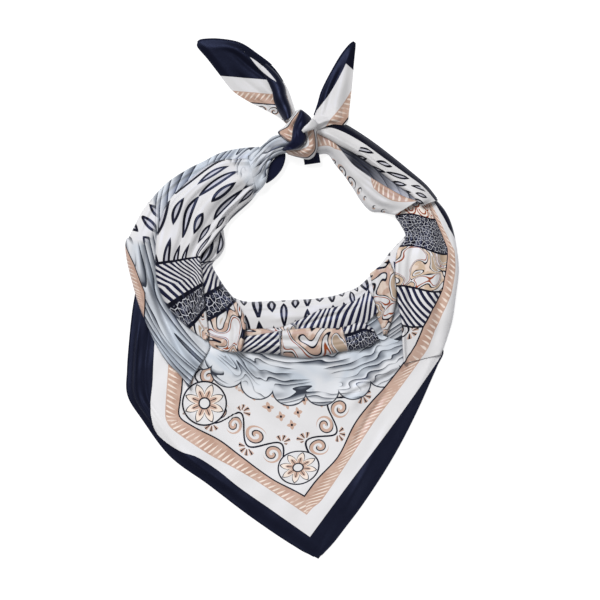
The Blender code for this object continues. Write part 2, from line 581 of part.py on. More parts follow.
def remember(points, faces):
    """Adds a finished solid to what the next stretch is laid on."""
    start = len(laid_points)
    laid_points.extend(points)
    laid_faces.extend(tuple(start + k for k in face) for face in faces)


def lay(grid):
    """Lifts a middle surface until its wall clears everything laid before it."""
    below = BVHTree.FromPolygons([Vector(p) for p in laid_points], laid_faces)
    rows = len(grid)
    cols = len(grid[0])
    lift = [[0.0] * cols for _ in range(rows)]

    def top_at(x, y):
        highest = None
        for dx, dy in ((0, 0), (REACH, 0), (-REACH, 0), (0, REACH), (0, -REACH)):
            hit = below.ray_cast(Vector((x + dx, y + dy, 200)), Vector((0, 0, -1)))[0]
            if hit is not None and (highest is None or hit.z > highest):
                highest = hit.z
        return highest

    scale = slopes(grid)
    for i in range(rows):
        for j in range(cols):
            x, y, z = grid[i][j]
            highest = top_at(x, y)
            if highest is not None:
                lift[i][j] = max(0.0, highest + GAP + 0.5 * WALL * scale[i][j] - z)
    for i in range(rows - 1):
        for j in range(cols - 1):
            corners = [(i, j), (i + 1, j), (i, j + 1), (i + 1, j + 1)]
            for f in (0.25, 0.5, 0.75):
                for g in (0.25, 0.5, 0.75):
                    shares = ((1 - f) * (1 - g), f * (1 - g), (1 - f) * g, f * g)
                    x, y, z = (sum(w * grid[a][b][k] for w, (a, b) in zip(shares, corners))
                               for k in range(3))
                    highest = top_at(x, y)
                    if highest is None:
                        continue
                    have = z + sum(w * lift[a][b] for w, (a, b) in zip(shares, corners))
                    want = highest + GAP + 0.5 * WALL * max(scale[a][b] for a, b in corners)
                    if have < want:
                        for w, (a, b) in zip(shares, corners):
                            lift[a][b] += (want - have) * w / sum(q * q for q in shares)

    def soften(passes):
        for _ in range(passes):
            old = [row[:] for row in lift]
            for i in range(rows):
                for j in range(cols):
                    near = [old[max(i - 1, 0)][j], old[min(i + 1, rows - 1)][j],
                            old[i][max(j - 1, 0)], old[i][min(j + 1, cols - 1)]]
                    lift[i][j] = max(lift[i][j], 0.5 * old[i][j] + 0.125 * sum(near))

    soften(3)
    for _ in range(80):
        raised = [[(x, y, z + lift[i][j]) for j, (x, y, z) in enumerate(row)]
                  for i, row in enumerate(grid)]
        points, faces = wall(raised, WALL, GAP)
        mine = BVHTree.FromPolygons([Vector(p) for p in points], faces)
        pairs = mine.overlap(below)
        if not pairs:
            break
        touched = {k % (rows * cols) for mine_face, _ in pairs for k in faces[mine_face]}
        for k in touched:
            lift[k // cols][k % cols] += 0.25
        soften(1)
    return [[(x, y, z + lift[i][j]) for j, (x, y, z) in enumerate(row)]
            for i, row in enumerate(grid)]


# ---------------------------------------------------------------- solids
def material(name):
    """One plain material for each node."""
    colour = "white"
    if name in NAVY_NODES:
        colour = "navy"
    if name in GREY_NODES:
        colour = "grey"
    if name in PEACH_NODES:
        colour = "peach"
    made = bpy.data.materials.new(name + "_silk")
    made.use_nodes = True
    shader = made.node_tree.nodes["Principled BSDF"]
    shader.inputs["Base Color"].default_value = COLOURS[colour]
    shader.inputs["Roughness"].default_value = 0.45
    made.diffuse_color = COLOURS[colour]
    return made


def solid(name, points, faces, smooth=True):
    """Makes a mesh object from points in mm, and adds it to what was laid."""
    mesh = bpy.data.meshes.new(name)
    placed = [(MM * (x - MIDDLE[0]), MM * (y - MIDDLE[1]), MM * z) for x, y, z in points]
    mesh.from_pydata(placed, [], faces)
    mesh.validate()
    thing = bpy.data.objects.new(name, mesh)
    bpy.context.scene.collection.objects.link(thing)
    mesh.materials.append(material(name))
    for face in mesh.polygons:
        face.use_smooth = smooth
    remember(points, faces)
    print(f"{name}: {len(faces)} triangles")
    return len(faces)


def ring_of_sections(sections):
    """Joins closed sections of equal size with triangles and caps both ends."""
    count = len(sections[0])
    points = [p for section in sections for p in section]
    faces = []
    for i in range(len(sections) - 1):
        for j in range(count):
            a = i * count + j
            b = i * count + (j + 1) % count
            faces.append((a, b, b + count))
            faces.append((a, b + count, a + count))
    last = (len(sections) - 1) * count
    for j in range(1, count - 1):
        faces.append((0, j + 1, j))
        faces.append((last, last + j, last + j + 1))
    return points, faces


# the section of the hidden layers: share of the width, share of the height
LAYERED = [
    (0.00, 0.00), (1.00, 0.00), (1.00, 0.16), (0.97, 0.24), (0.985, 0.34), (0.94, 0.44),
    (0.92, 0.62), (0.80, 0.86), (0.62, 0.98), (0.42, 1.00), (0.22, 0.94), (0.09, 0.74),
    (0.05, 0.52), (0.06, 0.44), (0.015, 0.34), (0.03, 0.24), (0.00, 0.16),
]


def hidden_layers(cells):
    """The rounded solid of the layers inside, through sections round the ring."""
    sections = []
    for i in range(cells + 1):
        x0, y0, x1, y1, height = spline(HIDDEN_LAYERS, i / cells)
        sections.append([(x0 + (x1 - x0) * f, y0 + (y1 - y0) * f, BASE + height * g)
                         for f, g in LAYERED])
    return ring_of_sections(sections)


def knot_core(cells, rings):
    """The rounded heart of the knot."""
    sections = []
    for i in range(rings + 1):
        f = -0.94 + 1.88 * i / rings
        wide = 8.5 * math.sqrt(1 - f * f)
        y = 156.0 + 13.0 * f
        x = 5.0 + 0.25 * 13.0 * f
        section = []
        for j in range(cells):
            a = 2 * math.pi * j / cells
            section.append((x + wide * math.cos(a), y, max(7.5 + 0.85 * wide * math.sin(a), 0.4)))
        sections.append(section)
    return ring_of_sections(sections)


def outward(points, faces):
    """Turns all faces over if they point inwards."""
    volume = sum(Vector(points[a]).dot(Vector(points[b]).cross(Vector(points[c])))
                 for a, b, c in faces)
    if volume < 0:
        return [(a, c, b) for a, b, c in faces]
    return faces


total = 0
points, faces = hidden_layers(32)
total += solid("hidden_layers", points, outward(points, faces))
points, faces = knot_core(10, 6)
total += solid("knot_core", points, outward(points, faces))
for name, table, along, across in LAID:
    grid = surface(name, table, along, across)
    if name != "back_panel":
        grid = lay(grid)
    points, faces = wall(grid, WALL)
    total += solid(name, points, outward(points, faces))
print("triangles in all:", total)
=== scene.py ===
# %% [markdown]
# # A tied silk scarf, laid flat
#
# This scarf is one square of printed silk, 700 mm a side, with a rolled hem.  It is folded along
# its diagonal, gathered along the fold, tied into a ring, and laid on a pale surface.  Folded
# cloth like this could be simulated, but a simulation never lands in a chosen arrangement, so
# each stretch that shows is shaped one by one instead: a smooth surface through a short table of
# sections, with its folds added, laid on the stretches below it in the order that they lie.
#
# The first cell loads the solid model as a fixed frame.  Each silk shell that is made here stands
# for one of its nodes, and has the same sections.

# %% Load the frame
import math
import bmesh
import bpy
import numpy as np
from mathutils import Matrix, Vector


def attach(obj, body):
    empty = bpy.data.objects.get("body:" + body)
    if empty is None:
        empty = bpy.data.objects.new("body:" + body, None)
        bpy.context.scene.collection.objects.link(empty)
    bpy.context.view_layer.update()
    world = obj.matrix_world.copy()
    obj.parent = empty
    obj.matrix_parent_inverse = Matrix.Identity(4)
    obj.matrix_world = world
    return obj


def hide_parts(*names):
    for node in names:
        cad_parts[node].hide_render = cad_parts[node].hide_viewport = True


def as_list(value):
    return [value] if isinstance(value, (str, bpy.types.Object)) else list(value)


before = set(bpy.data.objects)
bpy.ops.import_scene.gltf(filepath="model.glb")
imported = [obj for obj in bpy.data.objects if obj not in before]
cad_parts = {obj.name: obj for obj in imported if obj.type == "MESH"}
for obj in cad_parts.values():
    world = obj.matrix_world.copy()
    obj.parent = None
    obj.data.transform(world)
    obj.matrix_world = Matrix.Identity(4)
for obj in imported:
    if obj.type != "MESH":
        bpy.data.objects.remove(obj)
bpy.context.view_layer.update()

print("the frame has", len(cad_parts), "nodes")

# %% [markdown]
# ## The sizes that everything else is worked out from
#
# Silk twill of 16 momme is about 0.15 mm thick.  The shells are drawn 0.4 mm thick, because two
# layers lie together nearly everywhere.  The tables below are in millimetres, as a maker would
# measure them off the table, and one function turns them into metres.

# %% Sizes
MM = 0.001
SQUARE = 700.0          # side of the whole scarf
SILK = 0.40             # thickness of a shell
GAP = 0.25              # clear space between two shells
NAVY_BORDER = 18.0      # widths of the printed border, from the hem inwards
WHITE_BORDER = 16.0
PEACH_BORDER = 11.5
MIDDLE = (0.05, 0.00)   # the point of the tables that is the frame's origin


def metres(points):
    """Table millimetres to metres in the frame."""
    return (np.asarray(points, float) - (*MIDDLE, 0.0)) * MM


print("border", NAVY_BORDER + WHITE_BORDER + PEACH_BORDER, "mm wide on a square of", SQUARE, "mm")

# %% [markdown]
# ## The stretches of cloth
#
# Each table has a row for each section across a stretch.  A row holds points (x, y, height) from
# the left or inner edge to the right or outer edge.  +Y runs from the corner of the triangle up
# to the knot, and x to the right.  A smooth curve runs through the points both ways, so a few
# rows give a whole stretch.

# %% Sections of the lowest layers
BACK_PANEL = [
    ((-148, 0, 0.6), (-128, -10, 0.6), (-121, -22, 0.6)),
    ((-152, -30, 0.6), (-120, -34, 0.6), (-98, -47, 0.6)),
    ((-154, -60, 0.6), (-110, -64, 0.6), (-75, -68, 0.6)),
    ((-153, -92, 0.6), (-90, -90, 0.6), (-30, -79, 0.6)),
    ((-138, -115, 0.6), (-50, -106, 0.6), (20, -80, 0.6)),
    ((-113, -149, 0.6), (-20, -128, 0.6), (70, -72, 0.6)),
    ((-79, -175, 0.6), (10, -142, 0.6), (108, -56, 0.6)),
    ((-49, -198, 0.6), (30, -156, 0.6), (139, -55, 0.6)),
    ((-14, -225, 0.6), (40, -178, 0.6), (113, -110, 0.6)),
    ((10, -241, 0.6), (30, -216, 0.6), (64, -195, 0.6)),
    ((21, -245, 0.6), (25, -246, 0.6), (29, -243, 0.6)),
]
# the core: inner (x, y), outer (x, y), height
HIDDEN_LAYERS = [
    (-14, 140, -12, 149, 7),
    (-28, 118, -33, 137, 10),
    (-38, 103, -62, 126, 12),
    (-57, 84, -88, 106, 14),
    (-71, 67, -110, 74, 15),
    (-78, 50, -117, 50, 15),
    (-80, 32, -117, 22, 15),
    (-73, 12, -108, -8, 15),
    (-58, -5, -92, -42, 15),
    (-38, -7, -62, -63, 15),
    (-12, -7, -24, -73, 15),
    (18, -6, 16, -75, 15),
    (48, 0, 60, -68, 15),
    (73, 13, 100, -50, 14),
    (95, 33, 133, -22, 12),
    (110, 53, 148, 20, 11),
    (108, 71, 147, 62, 10),
    (98, 85, 130, 92, 9),
    (78, 97, 98, 116, 8),
    (62, 117, 72, 138, 7),
    (48, 134, 52, 152, 6),
    (33, 147, 33, 158, 5),
]
LEFT_BACK_STRIP = [
    ((-31, 145, 10), (-33, 136, 12), (-36, 129, 10)),
    ((-50, 143.5, 5), (-52, 136, 9), (-53, 129, 8)),
    ((-68, 139.5, 4), (-71, 131, 8), (-73, 121, 6)),
    ((-84, 131.5, 4), (-85, 122, 8), (-84, 113, 6)),
    ((-100, 123.5, 4), (-99, 114, 8), (-96, 104, 6)),
    ((-120, 110, 4), (-114, 101, 8), (-107, 93, 6)),
    ((-140, 88, 4), (-129, 83, 8), (-117, 77, 6)),
    ((-150, 70, 4), (-136, 66, 8), (-121, 63, 6)),
    ((-158, 54, 4), (-140, 49, 8), (-122, 46, 6)),
]
print("sections of the hidden layers:", len(HIDDEN_LAYERS))

# %% [markdown]
# The front of the triangle is the widest stretch.  It leaves the rolls in a slope and flattens
# towards the corner.  The drape hangs from the left shoulder over its left edge.

# %% Sections of the front and its drape
FRONT_PANEL = [
    ((-148, 12, 3.5), (-112, -14, 5), (-60, -38, 16.5), (5, -38, 17),
     (70, -32, 16), (104, -40, 12), (137, -38, 4)),
    ((-152, -12, 3), (-122, -28, 5), (-70, -50, 16), (5, -52, 16.5),
     (75, -46, 15), (110, -52, 8), (144, -50, 3.5)),
    ((-155, -40, 3), (-126, -48, 5), (-82, -66, 12), (5, -66, 14),
     (72, -60, 13), (108, -66, 6.5), (138.5, -63, 3.5)),
    ((-157, -68, 3), (-128, -74, 4.5), (-84, -84, 7), (5, -80, 10),
     (70, -76, 9), (102, -80, 5.5), (131, -80, 3.5)),
    ((-156.5, -92, 3), (-124, -96, 4), (-80, -100, 5.5), (5, -96, 7.5),
     (62, -93, 7.5), (94, -96, 5), (123.5, -97, 3.5)),
    ((-142.5, -115, 3), (-112, -116, 4), (-70, -117, 4.5), (7, -114, 5.5),
     (55, -112, 5.5), (82, -115, 4.5), (112.5, -120, 3.2)),
    ((-116, -150, 2.6), (-90, -143, 3.6), (-55, -138, 3.8), (10, -134, 4),
     (48, -134, 4.2), (70, -138, 4), (99, -145.5, 3)),
    ((-80, -176.5, 2.5), (-58, -170, 3.2), (-30, -163, 3.4), (13, -158, 3.4),
     (43, -158, 3.6), (60, -162, 3.6), (83, -172, 2.8)),
    ((-50, -199.5, 2.4), (-32, -194, 3), (-12, -189, 3.2), (16, -186, 3.2),
     (38, -186, 3.4), (50, -190, 3.2), (65.5, -198, 2.6)),
    ((-25, -217.5, 2.3), (-12, -214, 2.8), (3, -211, 3), (19, -209, 3),
     (32, -209, 3), (40, -212, 3), (51.5, -216.5, 2.5)),
    ((0, -234, 2.2), (7, -232, 2.6), (14, -230, 2.8), (22, -229, 2.8),
     (29, -229, 2.8), (34, -230, 2.6), (39.5, -232, 2.3)),
    ((21, -245.8, 2), (22.2, -246.5, 2.2), (23.5, -247.2, 2.4), (25, -248, 2.4),
     (26, -246.9, 2.4), (27, -245.7, 2.2), (28, -244.4, 2)),
]
LEFT_DRAPE = [
    ((-157.5, 58, 11), (-146, 56, 14), (-136, 52, 13), (-124, 48, 10)),
    ((-159, 50, 10), (-147, 44, 14), (-135, 38, 12), (-122, 34, 10)),
    ((-157, 34, 10), (-145, 29, 14), (-133, 23, 11), (-118, 18, 10)),
    ((-152, 14, 10), (-140, 10, 14), (-127, 5, 11), (-111, 2, 10)),
    ((-146, -6, 10), (-134, -8, 14), (-120, -12, 11), (-103, -12, 12)),
    ((-139, -23, 10), (-128, -24, 14), (-112, -27, 12), (-93, -25, 13)),
    ((-130.5, -42, 10), (-121, -40, 14), (-106, -38, 13), (-84, -34, 15)),
    ((-119, -60, 9), (-111, -55, 13), (-99, -50, 13), (-78, -44, 16)),
    ((-107, -72, 8), (-102, -67, 11), (-95, -61, 12), (-82, -54, 15)),
    ((-98.5, -84.5, 6), (-96.5, -80, 8), (-94, -74, 9), (-89, -64, 12)),
]
print("sections of the front panel:", len(FRONT_PANEL), "of", len(FRONT_PANEL[0]), "points each")

# %% [markdown]
# The fold of the triangle is rolled up along the front of the neck, and three rolls of it show,
# each a little higher than the one before.  At their right end a fold crosses them, and the right
# shoulder goes on up from there with its border turned under.

# %% Sections of the rolls and the right side
NECK_ROLL = [
    ((-60, 3, 12), (-57, -8, 17), (-54, -26, 16)),
    ((-44, -2.5, 11), (-42, -13, 17), (-40, -33, 16)),
    ((-20, -2, 10), (-19, -12, 17), (-17, -32, 16)),
    ((0, -1, 10), (0, -10, 17), (0, -29, 16)),
    ((20, 0, 10), (20, -9, 17), (20, -28, 16)),
    ((40, 3, 10), (41, -5, 17), (42, -22, 16)),
    ((55, 8, 10), (57, 1, 16), (60, -14, 15)),
    ((65, 13, 10), (69, 6, 15), (74, -8, 14)),
    ((82.5, 30, 10), (87, 20, 14), (92, 6, 13)),
    ((93.5, 44.5, 9), (100, 33, 13), (106, 18, 12)),
    ((109, 61, 9), (114, 49, 12), (121, 34, 11)),
]
RIGHT_SHOULDER = [
    ((102, 93, 8), (112, 97, 10), (124, 100, 10), (135, 97, 7)),
    ((98.5, 80, 8), (110, 83, 13), (128, 84, 12), (146, 84, 8)),
    ((103.5, 71, 8), (115, 71, 14), (134, 69, 12), (153, 68, 8)),
    ((108, 59, 9), (119, 56, 15), (138, 51, 12), (157.5, 45, 8)),
    ((100, 45, 13), (114, 42, 16), (136, 33, 13), (159, 26, 8)),
    ((98, 22, 15), (112, 20, 15), (134, 13, 13), (156.5, 5, 8)),
    ((100, 0, 16), (112, -1, 14), (132, -9, 12), (153.5, -17, 8)),
    ((104, -22, 15), (114, -23, 13), (131, -28, 9), (149.5, -33, 5)),
    ((105, -42, 13), (113, -43, 10), (127, -45, 6), (144.5, -47, 4)),
    ((106.5, -62, 8), (113, -60, 6), (125, -57, 4), (141.5, -53, 3)),
]
RIGHT_STRIPE_FOLD = [
    ((74, 24, 15), (83, 31, 18), (92, 38, 15)),
    ((77, 10, 17), (87, 18, 20), (97, 24, 16)),
    ((78, -5, 18), (89, 1, 21), (99, 4, 17)),
    ((80, -15, 18), (89, -11, 20), (97, -11, 17)),
    ((84, -25, 16), (89, -23, 18), (93.5, -24, 15)),
    ((87, -34, 13), (88.5, -33.5, 14), (90, -34, 13)),
]
UPPER_ROLL = [
    ((-50, -29, 19), (-49, -34, 20), (-48, -41, 18)),
    ((-20, -28, 19), (-18, -33, 21), (-16, -42, 19)),
    ((-8, -26, 19), (-3, -31, 21), (0, -41, 19)),
    ((10, -18.5, 19), (12, -25, 22), (14, -40, 19)),
    ((28, -10, 19), (29, -19, 22), (30, -38, 19)),
    ((40, -8, 19), (43, -16, 22), (46, -36, 19)),
    ((60, -1.5, 18), (63, -10, 21), (66, -26, 18)),
    ((73, 9, 17), (77, 0, 20), (82, -12, 17)),
]
LOWER_ROLL = [
    ((-52, -35, 22), (-52, -42, 23), (-52, -50, 18)),
    ((-40, -35, 22), (-40, -43, 25), (-40, -50.5, 17)),
    ((-20, -32, 22), (-19, -42, 26), (-18, -52, 17)),
    ((0, -29, 22), (0, -42, 26), (0, -55, 16)),
    ((20, -27.5, 22), (20, -41, 26), (20, -55.5, 16)),
    ((40, -28, 22), (42, -40, 26), (44, -50.5, 17)),
    ((55, -25, 21), (58, -37, 25), (61, -48, 17)),
    ((66, -22, 20), (70, -33, 23), (74, -44.5, 16)),
    ((77, -28, 18), (80, -34, 19), (83, -39, 15)),
]
print("sections of the highest roll:", len(LOWER_ROLL))

# %% [markdown]
# The left shoulder is the broadest of the gathered stretches.  It comes down from the knot and
# narrows to a tip on the rolls, and a second fold lies between it and the neck opening.

# %% Sections of the left side
LEFT_SHOULDER = [
    ((-30, 106, 9), (-33, 115, 15), (-36, 125, 15), (-40, 133, 11)),
    ((-40, 93, 9), (-47, 105, 18), (-60, 119, 18), (-72, 131, 11)),
    ((-58, 76.5, 9), (-67, 87, 19), (-84, 103, 20), (-100, 111.5, 11)),
    ((-66, 66, 9), (-77, 73, 19), (-98, 86, 20), (-120, 89, 11)),
    ((-75, 55, 12), (-87, 58, 21), (-104, 61, 21), (-128.5, 62, 11)),
    ((-86, 41, 17), (-96, 40, 22), (-111, 38, 21), (-130, 36, 12)),
    ((-85.5, 26, 18), (-94, 24, 22), (-108, 20, 21), (-128, 14, 13)),
    ((-84, 10, 19), (-91, 7, 23), (-102, 2, 21), (-119, -7, 14)),
    ((-82, -8, 20), (-87, -11, 22), (-94, -16, 20), (-105, -21.5, 15)),
    ((-80, -24, 20), (-83, -26, 21), (-87, -29, 19), (-92, -32.5, 16)),
    ((-79, -36, 19), (-80, -37, 19), (-81, -38, 18), (-82.5, -39, 17)),
]
LEFT_INNER_FOLD = [
    ((-65.5, 66, 8), (-72, 67, 11), (-80, 68, 12)),
    ((-64, 52, 8), (-73, 52, 16), (-88, 52, 15)),
    ((-68, 42, 8), (-78, 41, 16), (-94, 40, 16)),
    ((-76, 33, 9), (-84, 32.5, 17), (-96, 32, 16)),
    ((-71, 22, 10), (-82, 20, 18), (-96, 17, 17)),
    ((-64, 11, 11), (-76, 8, 19), (-92, 4, 17)),
    ((-55, 0, 13), (-68, -6, 20), (-88, -13, 18)),
    ((-48, -10, 17), (-60, -17, 21), (-82, -25, 18)),
    ((-44, -22, 20), (-56, -29, 22), (-79, -36, 18)),
    ((-45, -36, 20), (-56, -40, 22), (-77, -44, 17)),
    ((-48, -49, 18), (-55, -50.5, 19), (-66, -49.5, 17)),
]
print("sections of the left shoulder:", len(LEFT_SHOULDER))

# %% [markdown]
# On the right two leaves of cloth run to the knot with a hollow between them.  On the left the
# shoulder is gathered into the knot, over a small tab of the border.

# %% Sections of the leaves and the gathers
RIGHT_INNER_FOLD = [
    ((35, 154, 8), (36, 149, 9), (38, 144, 8)),
    ((50, 147, 6), (50, 141, 8), (50, 134, 6)),
    ((62, 140, 6), (61, 132, 6), (60, 123, 6)),
    ((78, 129, 6), (76, 122, 7), (74, 114, 6)),
    ((95, 116, 7), (92, 109, 9), (89, 102, 7)),
    ((111, 104, 9), (108, 99, 11), (105, 94, 9)),
    ((123, 96, 10), (120, 92, 12), (117, 88, 10)),
]
RIGHT_LOWER_LEAF = [
    ((22, 137, 10), (22.5, 147, 14), (23, 160, 12)),
    ((34, 138, 6), (36, 144, 10), (38, 151, 9)),
    ((41.5, 128, 5), (44.5, 134, 9), (48, 140, 8)),
    ((50.5, 117, 5), (54, 123, 10), (58, 128, 8)),
    ((59, 104.5, 5), (64, 112, 11), (70, 119, 9)),
    ((65.5, 94, 5), (72, 104, 12), (80, 112.5, 9)),
    ((75, 84, 5), (83, 95, 12), (91, 106, 9)),
    ((86, 82.5, 6), (95, 90, 12), (105, 98, 10)),
    ((98, 80, 9), (108, 86, 14), (119, 93, 11)),
]
RIGHT_UPPER_LEAF = [
    ((22, 165, 12), (23, 162, 14), (24, 157.5, 11)),
    ((37, 169.2, 7), (35.5, 161.5, 13), (34, 152.5, 9)),
    ((50, 166.5, 6), (48, 156, 13), (46, 145.5, 9)),
    ((70, 154.5, 6), (66, 145, 14), (62, 137, 10)),
    ((91, 139, 6), (85, 130, 14), (80, 124, 10)),
    ((112, 122, 7), (105, 115, 14), (99, 109, 11)),
    ((128, 108, 9), (120, 103.5, 15), (113, 99, 12)),
    ((139, 94, 12), (130, 91, 16), (123, 88, 13)),
]
LEFT_TAB = [
    ((-13, 139, 9), (-7, 140, 9)),
    ((-17, 133.5, 10), (-7, 133.5, 8)),
    ((-21.5, 127, 11), (-10, 124.5, 7)),
    ((-24, 118, 11), (-17, 115.8, 7)),
    ((-26, 111.5, 9), (-24.5, 110.5, 7)),
]
LEFT_GATHER = [
    ((-2, 156.5, 15), (-2, 148, 19), (-2, 140, 15)),
    ((-17, 155.5, 10), (-16, 147, 19), (-14.5, 136, 12)),
    ((-25, 149, 10), (-24, 139, 19), (-21.5, 127, 12)),
    ((-33, 142, 11), (-31, 131, 18), (-25, 111, 12)),
    ((-42.5, 135.5, 11), (-38, 121, 17), (-33, 101, 12)),
]
print("sections of the two leaves:", len(RIGHT_LOWER_LEAF) + len(RIGHT_UPPER_LEAF))

# %% [markdown]
# Past the knot two corners of the square lie free, like ears.  The left one has its edge turned
# over along one side.

# %% Sections of the free corners
RIGHT_EAR = [
    ((15, 166, 14), (19, 163, 15), (23, 160, 13)),
    ((20, 173, 10), (29, 170, 10), (38, 166, 7)),
    ((22, 178, 8), (37, 174.5, 8), (51.5, 166.5, 3)),
    ((25, 187, 7), (39, 184, 6), (54.3, 179, 2.5)),
    ((28.2, 198, 6), (42, 196, 4.5), (56, 193, 2.5)),
    ((35.5, 213, 6), (47, 212, 4), (57.8, 210.5, 2)),
    ((45.5, 230.5, 5), (53, 228, 3.5), (59.2, 226, 1.6)),
    ((52.5, 240, 4), (57, 238, 3), (60.2, 236, 1.3)),
    ((56.6, 244.2, 2.4), (58.6, 242.4, 2), (60.6, 239.5, 1.3)),
    ((59.0, 245.6, 2), (59.9, 245.2, 1.6), (60.8, 244.4, 1.2)),
]
LEFT_EAR = [
    ((4, 176, 14), (0, 171, 15), (-4, 166, 12)),
    ((0, 189, 9), (-7, 182, 8), (-14, 174.3, 6)),
    ((-5, 202, 7), (-16, 192, 5), (-27, 181.2, 4)),
    ((-16.5, 220, 6), (-30, 205, 4), (-44, 190, 2.5)),
    ((-33, 233.5, 6), (-45, 217, 3.5), (-57.5, 199.5, 2)),
    ((-50, 244.3, 6), (-59, 230, 3), (-69.5, 214.5, 1.6)),
    ((-70, 248, 4.5), (-75, 238, 2.6), (-80.5, 228.7, 1.4)),
    ((-86, 247.6, 2.6), (-87.5, 243.5, 2), (-89, 238.5, 1.3)),
    ((-90.2, 245.2, 2), (-90.8, 243.6, 1.8), (-91, 242, 1.2)),
]
LEFT_EAR_TURN = [
    ((-7, 169, 14), (-4, 171, 15), (-0.5, 173, 14)),
    ((-12, 177, 9), (-7, 179, 12), (-1.5, 182, 11)),
    ((-17, 188, 8), (-11, 191, 11), (-5.5, 194, 9)),
    ((-19, 198, 7), (-13.5, 201, 9), (-7.5, 204, 7)),
    ((-24, 209, 7), (-19, 211.5, 8), (-14, 214.5, 7)),
    ((-31, 219, 7), (-28, 221.5, 7.5), (-24.5, 224.5, 7)),
]
print("the left ear is", LEFT_EAR[0][0][0] - LEFT_EAR[-1][0][0], "mm wide")

# %% [markdown]
# Of the knot a wrap shows on the left, a loop below, and the front wrap, which lies highest.  A
# tongue of cloth slips out of it to the right ear, and a small corner peeps out under it.

# %% Sections of the knot
KNOT_LEFT_WRAP = [
    ((5, 180, 17), (9, 179.5, 20), (12, 177, 19)),
    ((-2, 171, 16), (2, 170, 22), (7, 168, 23)),
    ((-7, 164.5, 15), (-2, 163, 21), (4, 162, 23)),
    ((-13.5, 159, 14), (-6, 158, 21), (3, 157, 23)),
    ((-9, 153.5, 15), (-4, 153, 21), (3, 152, 23)),
    ((-2, 149, 18), (0, 149, 21), (4, 149, 22)),
]
KNOT_UNDER_CORNER = [
    ((10.5, 137, 9), (12, 128.5, 5)),
    ((18, 139, 10), (20, 129.5, 5)),
    ((25.5, 139, 8), (27, 130.5, 5)),
]
KNOT_LOWER_LOOP = [
    ((12, 161, 21), (17, 161, 23), (23, 161.5, 16)),
    ((13, 154, 23), (18.5, 152.8, 24), (24, 152, 15)),
    ((12, 147.5, 23), (18, 144, 24), (23.5, 140, 14)),
    ((5, 147, 22), (11, 140, 23), (17, 133, 14)),
    ((0, 145.5, 21), (4, 140, 22), (7, 134.5, 14)),
    ((-8, 143, 18), (-6, 140.5, 19), (-4, 137.8, 15)),
]
KNOT_TONGUE = [
    ((9.2, 159.2, 24), (10.8, 157, 24)),
    ((11.8, 162.6, 26), (14.5, 158.6, 26)),
    ((16, 166.5, 26), (20.5, 160.5, 24)),
    ((18.8, 170, 22), (23.8, 164, 20)),
    ((21.5, 169.8, 18), (24, 166.5, 17)),
]
KNOT_FRONT_WRAP = [
    ((8, 179.5, 22), (9.5, 179, 23), (11, 178, 21)),
    ((5, 172, 24), (11, 172, 27.5), (18.3, 171, 23)),
    ((2, 165, 25), (8, 164.5, 28.5), (15, 164.5, 26)),
    ((0.5, 158.5, 25), (6, 158, 28.5), (12.5, 158, 26)),
    ((0, 152.5, 25), (6.5, 152.5, 28.5), (13.6, 153, 26)),
    ((-1.5, 148.8, 24), (4.8, 147, 27), (11.5, 147.4, 25)),
    ((-6, 145.6, 21), (-1, 143.4, 24), (5.5, 142.6, 22.5)),
    ((-10, 141.5, 18), (-7.5, 140.4, 19.5), (-2.5, 141, 19)),
]
print("the front wrap's middle is", KNOT_FRONT_WRAP[3][1][2], "mm high")
